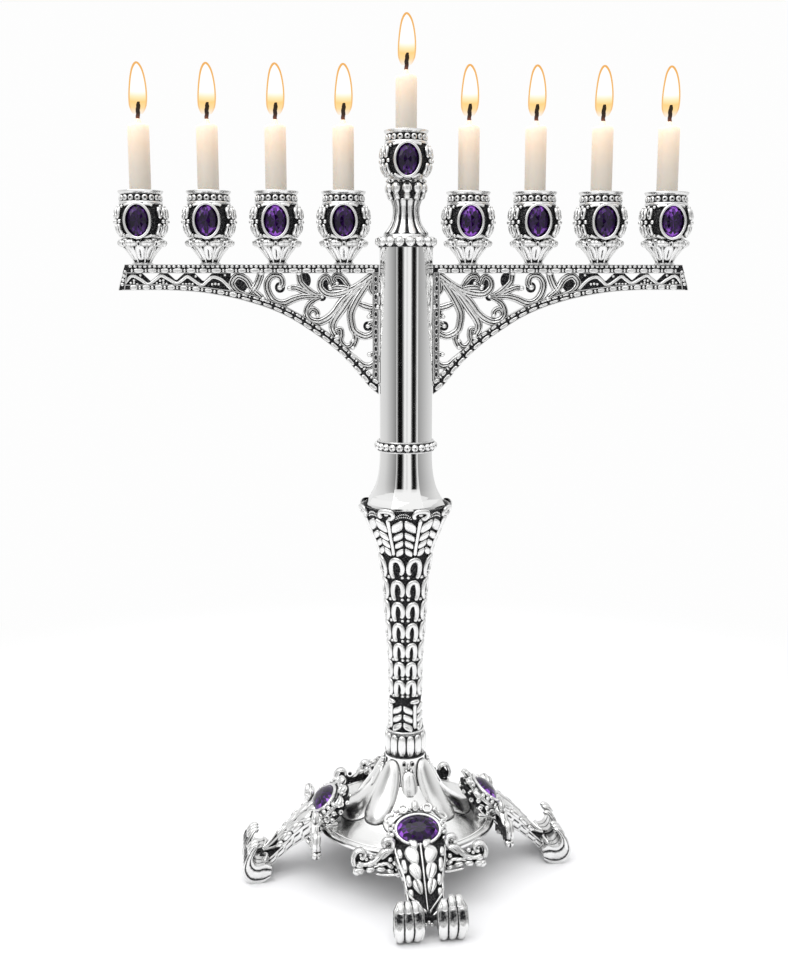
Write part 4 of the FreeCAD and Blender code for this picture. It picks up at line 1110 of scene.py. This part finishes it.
def leg():
    g = Geo()
    limb(g)
    toe(g, 2.9, 15.9, 1.6)
    toe(g, -16.2, -3.1, 0.0)
    wing(g, 1)
    wing(g, -1)
    cartouche(g)
    # root of the limb under the setting, closing it down to the plate, with scrolls on its sides
    block = ((32.5, 25.4, 31.5, 9.6), (35.0, 25.4, 33.5, 10.4), (40.0, 24.0, 31.5, 11.0), (44.0, 19.5, 28.0, 10.8),
             (45.2, 19.0, 26.0, 10.4))
    g.tube(np.array([[(-w, -r, z0), (-w, -r, z1), (0, -r, z1 + 0.8), (w, -r, z1), (w, -r, z0)]
                     for r, z0, z1, w in block]), 0.30)
    for sx in (-1, 1):
        out = (sx, 0, 0)
        for pts, w in (([(34.0, 26.6), (37.5, 26.2), (41.0, 24.4), (44.6, 21.0)], 1.0),
                       ([(43.8, 26.8), (41.4, 28.6), (38.8, 28.0), (38.4, 30.4), (40.4, 31.4)], 0.95),
                       ([(33.4, 29.4), (35.2, 31.6), (37.4, 30.4), (36.0, 28.6), (34.6, 29.6)], 0.85)):
            sweep(g, [(sx * 11.0, -r, z) for r, z in pts], w, 1.4, up=out, n=32, lo=0.3)
        for r, z in ((42.4, 24.6), (36.4, 27.8), (44.4, 23.4), (39.4, 26.2)):
            bead(g, (sx * 11.4, -r, z), 1.05, axis=out)
        # web that joins the limb's foot to its claw
        pod(g, (sx * 4.5, -66.0, 8.6), (sx * 9.6, -70.4, 6.4), 2.6, 2.4, (0, -0.5, 1), lo=0.02)
        sweep(g, [(sx * 1.4, -69.6, 7.6), (sx * 4.6, -68.4, 9.8), (sx * 8.4, -67.6, 10.8), (sx * 12.6, -69.0, 9.8)],
                (0.6, 0.8, 0.6), 1.1, up=(0, -0.6, 1), n=24)
        bead(g, (sx * 1.3, -71.2, 5.6), 0.95, axis=(0, -1, 0.4))
    bead(g, (0, -71.4, 6.8), 0.9, axis=(0, -1, 0.4))
    return g


leg_mesh = leg().mesh("claw_leg")
flat_gem = gem(9.35, 6.5, 2.7, point=0.10, n=20, long_axis=0)
for P in flat_gem.v:
    P[:, 2] += LEG_STONE_RISE
gem_mesh = tipped(flat_gem).mesh("leg_stone", painted_facets=True)
for k, name in enumerate(("leg_front", "leg_right", "leg_back", "leg_left")):
    turn = TURN + k * QUARTER
    silver("silver_" + name, leg_mesh, name, turn=turn)
    piece("cut_stone_" + name, gem_mesh, STONE, STAND, "purple_stone", "leg_stones", turn=turn)


# ------------------------------------------------------------------ arms
# drawn as (distance from the axis, drop below the rail top)
RAIL = top("arm_left")
UNDERSIDE = [(127.6, 11.5), (116.0, 11.4), (106.0, 11.5), (92.5, 12.4), (79.0, 14.7), (70.0, 17.0), (61.5, 19.8),
        (52.5, 23.9), (44.0, 29.2), (35.0, 35.6), (26.0, 44.0), (17.4, 54.4), (12.6, 58.6)]
INSIDE = [(125.6, 9.0), (115.0, 8.9), (104.0, 8.9), (92.0, 9.8), (78.0, 11.7), (68.5, 13.7), (59.8, 16.4),
        (50.6, 20.6), (41.8, 25.9), (32.6, 32.5), (23.4, 41.2), (14.6, 50.6), (12.6, 52.6)]
# each scroll: its line, and its width at the start and the end
SCROLLS = [
    ([(13.6, 3.6), (21.0, 9.1), (26.1, 11.7), (31.6, 13.2), (35.8, 13.0), (38.6, 10.4), (38.4, 7.0), (36.0, 5.4),
            (34.4, 7.4), (34.6, 9.6)], 3.2, 1.5),
    ([(25.2, 10.6), (27.4, 7.4), (29.5, 5.4), (32.0, 5.2), (32.7, 7.0), (31.2, 8.3)], 1.7, 1.5),
    ([(25.5, 11.0), (29.9, 10.4), (34.2, 10.6)], 2.6, 1.6),
    ([(36.8, 13.8), (42.2, 14.3), (46.4, 14.3), (50.7, 15.4), (54.1, 16.9), (57.0, 17.2), (60.0, 15.8), (62.1, 12.6),
            (62.8, 9.1), (61.5, 6.1), (59.1, 4.9), (56.6, 5.7), (55.8, 8.3), (57.0, 10.2)], 2.0, 2.2),
    ([(38.7, 14.3), (43.0, 12.4), (45.6, 10.2), (47.7, 7.6), (48.3, 3.6)], 1.6, 2.4),
    ([(41.0, 13.6), (46.4, 11.7), (49.8, 10.4), (52.6, 10.6)], 1.6, 2.0),
    ([(20.0, 9.0), (27.4, 15.0), (30.3, 18.2), (32.4, 21.2), (35.8, 24.2), (39.7, 25.8), (43.5, 24.9), (45.2, 21.7),
            (43.9, 17.8), (40.9, 15.6), (38.0, 14.4)], 3.4, 1.4),
    ([(43.8, 23.4), (44.0, 21.7), (42.6, 19.9), (40.5, 21.0), (40.1, 23.0)], 1.5, 1.7),
    ([(19.0, 8.0), (24.8, 13.9), (29.1, 19.9), (32.4, 24.6), (33.4, 28.4), (31.4, 32.6)], 3.0, 2.4),
    ([(32.6, 30.0), (29.9, 29.0), (29.5, 31.6), (29.9, 34.2), (27.8, 36.8), (25.2, 36.4), (24.2, 34.2)], 2.0, 1.7),
    ([(16.0, 6.4), (19.7, 11.7), (22.7, 16.5), (25.0, 21.7), (24.8, 26.0), (23.8, 29.5), (21.4, 31.4), (18.5, 32.3),
            (15.5, 31.2), (14.4, 28.6), (15.5, 26.5), (17.4, 27.6)], 3.0, 1.8),
    ([(23.8, 29.0), (22.8, 33.4), (24.2, 37.4)], 1.8, 1.7),
    ([(15.1, 5.0), (15.9, 10.0), (15.0, 12.6), (12.8, 13.4)], 1.6, 1.8),
    ([(22.0, 17.2), (18.9, 18.6), (15.6, 19.4), (12.8, 19.0)], 2.0, 2.2),
    ([(15.8, 19.2), (15.0, 22.1), (17.0, 23.4)], 1.8, 1.6),
    ([(27.4, 38.6), (22.7, 42.9), (19.7, 45.3), (16.3, 45.6), (13.9, 43.3), (14.6, 40.7), (16.8, 40.5)], 2.0, 1.8),
    ([(71.1, 13.8), (76.0, 11.9), (78.4, 8.4), (75.9, 5.2), (72.0, 6.8), (69.2, 11.2), (64.6, 15.4)], 2.0, 2.0),
    ([(70.9, 14.0), (67.6, 9.4), (65.2, 3.6)], 1.8, 2.6),
]
# blackened webs between scrolls: place and half sizes
WEBS = [(36.4, 9.0, 2.6, 3.8), (45.6, 7.0, 2.6, 3.4), (74.6, 8.8, 3.2, 3.4), (29.6, 8.2, 2.2, 2.4)]
# openings above the wave: middle, half width and depth
PIERCED = [(114.6, 4.2, 3.6), (103.4, 4.0, 3.2), (91.2, 4.2, 3.6)]
WAVE = [(127.0, 9.6), (123.2, 5.2), (119.4, 6.6), (115.8, 8.8), (112.4, 6.6), (110.0, 5.0), (107.0, 6.4),
        (103.2, 8.4), (100.4, 6.8), (98.2, 5.4), (95.4, 7.2), (92.0, 9.2), (89.2, 7.2), (86.8, 5.6), (82.8, 7.0),
        (78.4, 11.6)]


def channel(g, A, B, half, rim, sink, floor=0.03):
    """Flat bar between two lines, with bright rims and a sunk blackened channel on both faces."""
    e = B - A
    L = np.linalg.norm(e, axis=1, keepdims=True)
    e = e / np.maximum(L, 1e-6)
    L = L[:, 0]
    # across the bar: distance from A, half depth and wear
    steps = [(0 * L, half - 0.1, 1), (0 * L + 0.06, half, 1), (0 * L + rim, half, 1),
             (0 * L + rim + 0.1, half - sink, floor), (L - rim - 0.1, half - sink, floor), (L - rim, half, 1),
             (L - 0.06, half, 1), (L, half - 0.1, 1)]
    pts, wear_and_painted_light = [], []
    for sgn, order in ((-1, steps), (1, steps[::-1])):
        for s, d, w in order:
            q = A + e * s[:, None]
            pts.append(np.stack([-q[:, 0], np.full(len(q), sgn * d), RAIL - q[:, 1]], 1))
            wear_and_painted_light.append(w)
    g.tube(np.stack(pts, 1), np.array(wear_and_painted_light)[None])


def rows_on(line, half):
    """Maps (along, across, height) on to both faces of a flat bar; across is measured down from the line's middle."""
    length, look = follow(smooth_line(line, 260))
    maps = []
    for sgn in (1, -1):
        def at(x, y, h, sgn=sgn):
            u, d, tu, td = look(x)
            return np.stack([-(u - td * y), -sgn * (half + h), RAIL - (d + tu * y)], -1)
        maps.append(at)
    return maps, length


def arm():
    """Left arm: pierced scrollwork between rails, the same on both faces."""
    g = Geo()
    # top rail: a row of small pearls over a row of bars and beads, on a blackened ground
    U = np.linspace(12.4, 125.6, 60)
    channel(g, np.stack([U, np.full(60, 0.0)], 1), np.stack([U + np.linspace(0, 1.2, 60), np.full(60, 3.9)], 1), 2.95,
            rim=0.30, sink=0.55)
    maps, L = rows_on([(12.4, 2.0), (40, 2.0), (80, 2.0), (126.2, 2.0)], 2.45)
    for S in maps:
        for x in np.arange(1.2, L - 0.8, 2.15):
            boss(g, S, x, -1.12, 0.88, 0.66, 0.6, nr=4, na=14, square=0.8)
        x = 1.6
        k = 0
        while x < L - 4.5:
            w = (2.35, 1.9, 2.1)[k % 3]
            boss(g, S, x + w, 0.74, w, 1.02, 0.7, nr=5, na=24, power=5, square=0.75)
            boss(g, S, x + 2 * w + 0.72, 0.74, 0.62, 0.92, 0.75, **STUD)
            x += 2 * w + 1.5
            k += 1
    # slanted tip
    tip_a, tip_b = np.array([(125.6, 0.0), (126.8, 3.9), (128.4, 9.0), (129.0, 11.5)]), np.array([(123.9, 0.4),
            (124.9, 3.9), (125.7, 9.0), (126.0, 11.2)])
    channel(g, smooth_line(tip_b, 20), smooth_line(tip_a, 20), 2.3, rim=0.35, sink=0.35)
    maps, L = rows_on([(125.0, 1.0), (126.0, 4.4), (127.2, 9.0), (127.5, 11.0)], 2.0)
    for S in maps:
        for x in np.arange(2.4, L - 0.8, 1.9):
            boss(g, S, x, 0, 0.85, 0.85, 0.6, **STUD)
    # lower rail, from the tip down to the column, with long bars parted by beads
    n = 110
    A, B = smooth_line(INSIDE, n), smooth_line(UNDERSIDE, n)
    channel(g, A, B, 2.3, rim=0.42, sink=0.5)
    C = (A + B) / 2
    width = np.linalg.norm(B - A, axis=1)
    maps, L = rows_on(C, 1.8)
    for S in maps:
        x = 2.6
        while x < L - 3:
            wv = np.interp(x / L, np.linspace(0, 1, n), width)
            if wv > 3.3:
                # twin rows on the diagonal: long bars inside, short dashes outside
                boss(g, S, x + 2.3, -wv * 0.20, 2.3, wv * 0.17, 0.75, nr=5, na=24, power=4.5, square=0.8)
                boss(g, S, x + 1.5, wv * 0.22, 1.5, wv * 0.13, 0.75, nr=5, na=20, power=4.5, square=0.8)
                boss(g, S, x + 3.8, wv * 0.22, 0.6, wv * 0.13, 0.75, **STUD)
                x += 5.1
                continue
            big = (wv - 0.8) / 2
            boss(g, S, x + 1.85, 0, 1.85, big * 0.95, 0.8, nr=5, na=24, power=4.5, square=0.75)
            boss(g, S, x + 4.55, 0, 0.72, big * 0.85, 0.85, **STUD)
            x += 5.55
    # upright against the column
    D = np.linspace(3.6, 53.0, 40)
    channel(g, np.stack([np.full(40, 12.3), D], 1), np.stack([np.full(40, 15.3), D], 1), 2.3, rim=0.45, sink=0.22,
            floor=0.30)
    maps, L = rows_on([(13.8, 4.0), (13.8, 20.0), (13.8, 36.0), (13.8, 52.0)], 2.05)
    for S in maps:
        for x in np.arange(2.6, L - 1.5, 3.9):
            boss(g, S, x, 0, 1.6, 1.0, 0.45, nr=4, na=16, hole=0.72, rim=0.3)
    # outer panel behind the wave, pierced above each trough
    U = np.linspace(79.0, 126.4, 150)
    topline = np.full(150, 3.6)
    for middle, half, deep in PIERCED:
        k = np.clip(1 - np.abs(U - middle) / half, 0, 1)
        topline = np.maximum(topline, 3.6 + deep * np.minimum(1, k * 1.12) * (k > 0))
    bottom = np.interp(U, [79, 92, 104, 126.4], [12.0, 10.2, 9.4, 9.4])
    corners = ((-0.6, topline), (-0.6, bottom), (0.6, bottom), (0.6, topline))
    g.tube(np.stack([np.stack([-U, np.full(150, y), RAIL - z], 1) for y, z in corners], 1), 0.02)
    pts = [(-u, 0, RAIL - d) for u, d in WAVE]
    sweep(g, pts, 1.0, 1.6, up=(0, 1, 0), n=150, k=14, lo=0.5)
    wave_line = smooth_line(WAVE, 90)
    rng = np.random.default_rng(3)    # unevenness of the dots round the wave
    for u in np.arange(81.5, 125.5, 1.45):
        for d0 in (5.0, 7.0, 8.6):
            d = d0 + rng.uniform(-0.4, 0.4)
            near = min(abs(u - a) / 0.9 + abs(d - b) / 0.9 for a, b in wave_line)
            tl = np.interp(u, U, topline)
            if near > 2.2 and d > tl + 0.7 and d < np.interp(u, U, bottom) - 0.2:
                for sy in (-1, 1):
                    bead(g, (-u, sy * 0.75, RAIL - d), 0.72, axis=(0, sy, 0), n=10, m=6)
    # scrollwork bars with two flutes, and rolled eyes
    webs = list(WEBS)
    for points, wa, wb in SCROLLS:
        line = [(-u, 0.0, RAIL - d) for u, d in points]
        w = (wa / 2 + 0.15, (wa + wb) / 4 + 0.75, (wa + wb) / 4 + 0.65, wb / 2 + 0.45)
        sweep(g, line, w, 1.9, up=(0, 1, 0), n=9 * len(points), k=36, lo=0.0, groove=0.5, lines=(-0.36, 0.36))
        u, d = points[-1]
        if len(points) > 7:
            webs.append((u, d, wb * 0.6 + 1.0, wb * 0.6 + 1.1))
        for sy in (-1, 1):
            bead(g, (-u, sy * 1.3, RAIL - d), wb * 0.6, axis=(0, sy, 0), n=14, m=8)
    for u, d, a, b in webs:
        for sy in (-1, 1):
            def web(x, y, h):
                return np.stack([-(u + x * sy), sy * (0.55 + h) + 0 * x, RAIL - d + y], -1)
            boss(g, web, 0, 0, a, b, 0.25, nr=4, na=26, rim=0.01, base=-0.6, hole=1.3)
    return g


left = arm()
right = left.carried(lambda P: P * [-1, 1, 1], flip=True)
silver("silver_arm_left", left.mesh("arm_left"), "arm_left")
silver("silver_arm_right", right.mesh("arm_right"), "arm_right")


# ------------------------------------------------------------------ candles, wicks and flames
CANDLE_R = 4.75
FLAME_TALL, FLAME_BASE, FLAME_LEAN, CORE_INSET = 21.8, 4.7, 0.35, 0.62


def candle(z0, z1):
    """Taper with a melted rim and a small cone of wax round the wick."""
    g = Geo()
    R = CANDLE_R
    prof = [(0.2, z0), (R - 0.4, z0), (R, z0 + 0.4)]
    prof += [(R, z) for z in np.linspace(z0 + 1, z1 - 1.4, 26)]
    prof += [(R - 0.03, z1 - 0.9), (R - 0.18, z1 - 0.35), (R - 0.5, z1 - 0.05), (R - 0.85, z1), (R - 1.25, z1 - 0.2),
             (R - 1.8, z1 - 0.5), (2.2, z1 - 0.5), (1.55, z1 + 0.3), (1.25, z1 + 1.4), (1.0, z1 + 2.4), (0.2,
                     z1 + 2.6)]
    revolve(g, [(r, z, 1) for r, z in prof], 64)
    for P in g.v:
        th = np.arctan2(P[:, 0], -P[:, 1])
        f = np.clip((P[:, 2] - (z1 - 6)) / 6, 0, 1) * (np.hypot(P[:, 0], P[:, 1]) > 3.5)
        P[:, 2] += f * (0.18 * np.sin(2 * th + 0.6) + 0.10 * np.sin(3 * th + 2.0))
    return g


def wick(z1):
    """Three-strand braid that leans a little; its wear_and_painted_light value runs from the painted red glow at its
    root to its charred tip.
    """
    g = Geo()
    line = [(0, 0, -5.5), (0, 0, 0), (0.02, 0, 2.4), (0.10, 0, 5.2), (0.28, 0, 7.8), (0.55, 0, 9.6)]
    c = smooth_line([(x, y, z1 + z) for x, y, z in line], 60)
    ph = around(14)
    z = c[:, 2]
    r = 0.92 * np.interp(z, [z1, z1 + 3, z1 + 8.0, z1 + 9.7], [0.8, 0.95, 1.0, 0.6])[:, None]
    braid = 1 + 0.13 * np.sin(3 * ph[None] + 2.1 * z[:, None])
    P = np.stack([c[:, :1] + r * braid * np.cos(ph), c[:, 1:2] + r * braid * np.sin(ph), z[:, None] + 0 * ph], -1)
    g.tube(P, np.clip((z - z1 - 1.5) / 6.5, 0, 1)[:, None])
    return g


def flame(z1, core):
    g = Geo()
    prof = [(2.3, 0.0), (3.2, 1.5), (3.85, 3.6), (4.05, 6.6), (3.95, 9.8), (3.65, 13.0), (3.15, 16.2), (2.45, 18.9),
            (1.5, 20.8), (0.7, 21.6), (0.04, FLAME_TALL)]
    c = smooth_line(prof, 56)
    r, z = np.maximum(c[:, 0], 0.01), c[:, 1]
    if core:
        r = np.maximum(r - CORE_INSET, 0.01)
        z = 0.2 + z * (FLAME_TALL - 0.9) / FLAME_TALL
    P = polar(r[:, None], around(40), z1 + FLAME_BASE + z[:, None])
    P[..., 0] += (FLAME_LEAN * np.sin(z / FLAME_TALL * np.pi * 0.9))[:, None]
    g.grid(P, (z / FLAME_TALL)[:, None], wrap=True)
    return g


def flame_skin(name, colours, strength, opacity=None):
    """Glow on the far side of a shell only, so that nothing hides the wick; the wear_and_painted_light value runs up
    the flame.
    """
    m, nt, sh, out = nodes_of(name)
    nt.nodes.remove(sh)
    up = attribute(nt, "wear_and_painted_light")
    em = nt.nodes.new("ShaderNodeEmission")
    em.inputs["Strength"].default_value = strength
    feed(nt, em, 0, ramp(nt, up, colours))
    fac = nt.nodes.new("ShaderNodeNewGeometry").outputs["Backfacing"]
    if opacity:
        fac = math_node(nt, "MULTIPLY", ramp(nt, up, opacity), fac)
    feed(nt, out, 0, mix_shader(nt, fac, nt.nodes.new("ShaderNodeBsdfTransparent"), em))
    return m


CORE = flame_skin("flame_core", [(0.0, (1.0, 0.95, 0.88)), (0.12, (1.0, 0.74, 0.38)), (0.24, (1.0, 0.66, 0.26)),
                                 (0.34, (1.0, 0.84, 0.52)), (0.44, (1.0, 1.0, 0.97))],
                  1.06, [(0.0, 0.35), (0.14, 0.85), (0.30, 1)])
EDGE = flame_skin("flame_edge", [(0.0, (1.0, 0.90, 0.78)), (0.14, (0.94, 0.58, 0.24)), (0.5, (0.92, 0.52, 0.17)),
                                 (1.0, (0.90, 0.47, 0.14))], 1.0)


def candle_set(row, node, base):
    """Meshes and wax for the candles of one row, whose cups stand on base."""
    z0, z1 = foot(node), top(node) - 1.0
    wax_mat = wax("wax_" + row, base + LIP - 2, z1)
    return (wax_mat, candle(z0, z1).mesh("candle_" + row), wick(z1).mesh("wick_" + row),
            flame(z1, False).mesh("flame_edge_" + row), flame(z1, True).mesh("flame_core_" + row))


arm_set = candle_set("arm", "candle_left_1", cup_base)
centre_set = candle_set("centre", "candle_centre", centre_base)
for s in SIDES + ["centre"]:
    at = (0.0 if s == "centre" else mid_x("candle_" + s), 0, 0)
    body = "lit_candle_" + s
    wax_mat, candle_mesh, wick_mesh, edge_mesh, core_mesh = centre_set if s == "centre" else arm_set
    piece("wax_" + s, candle_mesh, wax_mat, body, "wax", "candle_" + s, at=at)
    piece("burnt_wick_" + s, wick_mesh, WICK, body, "wick", "wick_" + s, at=at)
    for label, me, mat in (("flame_edge_", edge_mesh, EDGE), ("flame_core_", core_mesh, CORE)):
        piece(label + s, me, mat, body, None, at=at).visible_shadow = False


# ------------------------------------------------------------------ floor, light and camera
BACKDROP = (0.985, 0.985, 0.985, 1)
FLOOR_R = 30.0
WALL_R, WALL_TOP, WALL_N = 0.9, 0.62, 360
# greys round the set, by degrees from the front: cards, with black flags on both sides of the front
SIDE_STOPS = [(-180, .85), (-104, .86), (-90, .70), (-80, .40), (-74, .20), (-52, .75), (-16, .80), (-8.6, .80),
              (-7.9, .004), (-1.6, .004), (-1.0, .95), (1.8, .95), (2.3, .35), (3.2, .95), (7.8, .95), (8.5, .004),
              (12.6, .004), (13.4, .8), (40, .80), (66, .22), (82, .36), (96, .62), (106, .80), (180, .85)]
scene = bpy.context.scene


def stage_piece(name, me, mat):
    me.materials.append(mat)
    ob = bpy.data.objects.new(name, me)
    scene.collection.objects.link(ob)
    return ob


# floor that takes shadows near the feet and fades into the backdrop
m, nt, sh, out = nodes_of("floor")
tc = nt.nodes.new("ShaderNodeTexCoord")
ln = nt.nodes.new("ShaderNodeVectorMath")
ln.operation = "LENGTH"
feed(nt, ln, 0, tc.outputs["Object"])
far = ramp(nt, math_node(nt, "MULTIPLY", ln.outputs["Value"], 0.5), [(0.08, 0), (0.26, 1)], "EASE")
sh.inputs["Base Color"].default_value = (0.86, 0.86, 0.87, 1)
sh.inputs["Roughness"].default_value = 0.8
em = nt.nodes.new("ShaderNodeEmission")
em.inputs["Color"].default_value = BACKDROP
feed(nt, out, 0, mix_shader(nt, far, sh, em))
fm = bpy.data.meshes.new("floor")
fm.from_pydata([(FLOOR_R * math.cos(t), FLOOR_R * math.sin(t), 0) for t in around(64)], [], [list(range(64))])
floor = stage_piece("floor", fm, m)


def surroundings(nt, coords):
    """The greys of SIDE_STOPS round the vertical axis, and the height along the direction or point."""
    tc = nt.nodes.new("ShaderNodeTexCoord")
    xyz = nt.nodes.new("ShaderNodeSeparateXYZ")
    feed(nt, xyz, 0, tc.outputs[coords])
    a = math_node(nt, "ARCTAN2", xyz.outputs[0], math_node(nt, "MULTIPLY", xyz.outputs[1], -1.0))
    a = math_node(nt, "ADD", math_node(nt, "MULTIPLY", a, 0.5 / math.pi), 0.5)
    return ramp(nt, a, [(d / 360.0 + 0.5, g) for d, g in SIDE_STOPS]), xyz.outputs[2]


def background(nt, colour, strength):
    bg = nt.nodes.new("ShaderNodeBackground")
    bg.inputs["Strength"].default_value = strength
    if isinstance(colour, tuple):
        bg.inputs["Color"].default_value = colour
    else:
        feed(nt, bg, "Color", colour)
    return bg


# world: plain backdrop for the camera, a soft sky for diffuse light, and cards with flags for reflections
world = bpy.data.worlds.new("studio")
scene.world = world
wt = emptied(world)
sides, height = surroundings(wt, "Generated")
height = math_node(wt, "ADD", math_node(wt, "MULTIPLY", height, 0.5), 0.5)
overhead = wt.nodes.new("ShaderNodeMix")
overhead.data_type = "RGBA"
feed(wt, overhead, 0, ramp(wt, height, [(0.48, 0.0), (0.62, .35), (0.80, 1.0), (1.0, 1.0)]))
feed(wt, overhead, 6, sides)
overhead.inputs[7].default_value = (1, 1, 1, 1)
sky = ramp(wt, height, [(0.5, .28), (0.70, 1.0), (1.0, 1.0)])
rays = wt.nodes.new("ShaderNodeLightPath")
lit = mix_shader(wt, rays.outputs["Is Diffuse Ray"], background(wt, overhead.outputs[2], 1.0),
        background(wt, sky, 1.16))
seen = mix_shader(wt, rays.outputs["Is Camera Ray"], lit, background(wt, BACKDROP, 1.0))
feed(wt, wt.nodes.new("ShaderNodeOutputWorld"), 0, seen)

# reflection wall: a ring of the same cards and flags round the set, seen only in reflections
m = bpy.data.materials.new("reflection_wall")
nt = emptied(m)
em = nt.nodes.new("ShaderNodeEmission")
feed(nt, nt.nodes.new("ShaderNodeOutputMaterial"), 0, em)
feed(nt, em, 0, surroundings(nt, "Object")[0])
verts = [(WALL_R * math.sin(t), -WALL_R * math.cos(t), z) for z in (0.0, WALL_TOP) for t in around(WALL_N)]
rm = bpy.data.meshes.new("reflection_wall")
steps = [(k, (k + 1) % WALL_N) for k in range(WALL_N)]
rm.from_pydata(verts, [], [(a, b, WALL_N + b, WALL_N + a) for a, b in steps])
wall = stage_piece("reflection_wall", rm, m)
wall.visible_camera = False
wall.visible_diffuse = False
wall.visible_shadow = False
wall.visible_transmission = False


def softbox(name, at, aim, size, power):
    ld = bpy.data.lights.new(name, "AREA")
    ld.shape = "RECTANGLE"
    ld.size, ld.size_y = size
    ld.energy = power
    ob = bpy.data.objects.new(name, ld)
    scene.collection.objects.link(ob)
    ob.location = at
    ob.rotation_euler = (Vector(aim) - Vector(at)).to_track_quat("-Z", "Y").to_euler()


softbox("overhead", (-0.25, -0.25, 1.25), (0, 0, 0.1), (1.2, 1.0), 6.0)
softbox("left_fill", (-1.0, -0.7, 0.7), (0, 0, 0.15), (0.6, 0.9), 3.0)

scene.view_settings.view_transform = "Standard"
scene.view_settings.look = "None"
scene.view_settings.exposure = 0.0
scene.view_settings.gamma = 1.0

cam = bpy.data.cameras.new("camera")
cam.lens = 44.31
cam.sensor_width = 36.0
cam.clip_start = 0.02
cam.clip_end = 80.0
co = bpy.data.objects.new("camera", cam)
scene.collection.objects.link(co)
co.location = (-0.0295, -0.5512, 0.282)
heading, down = math.radians(2.5), math.radians(9.85)
look = Vector((math.sin(heading) * math.cos(down), math.cos(heading) * math.cos(down), -math.sin(down)))
co.rotation_euler = look.to_track_quat("-Z", "Y").to_euler()
scene.camera = co
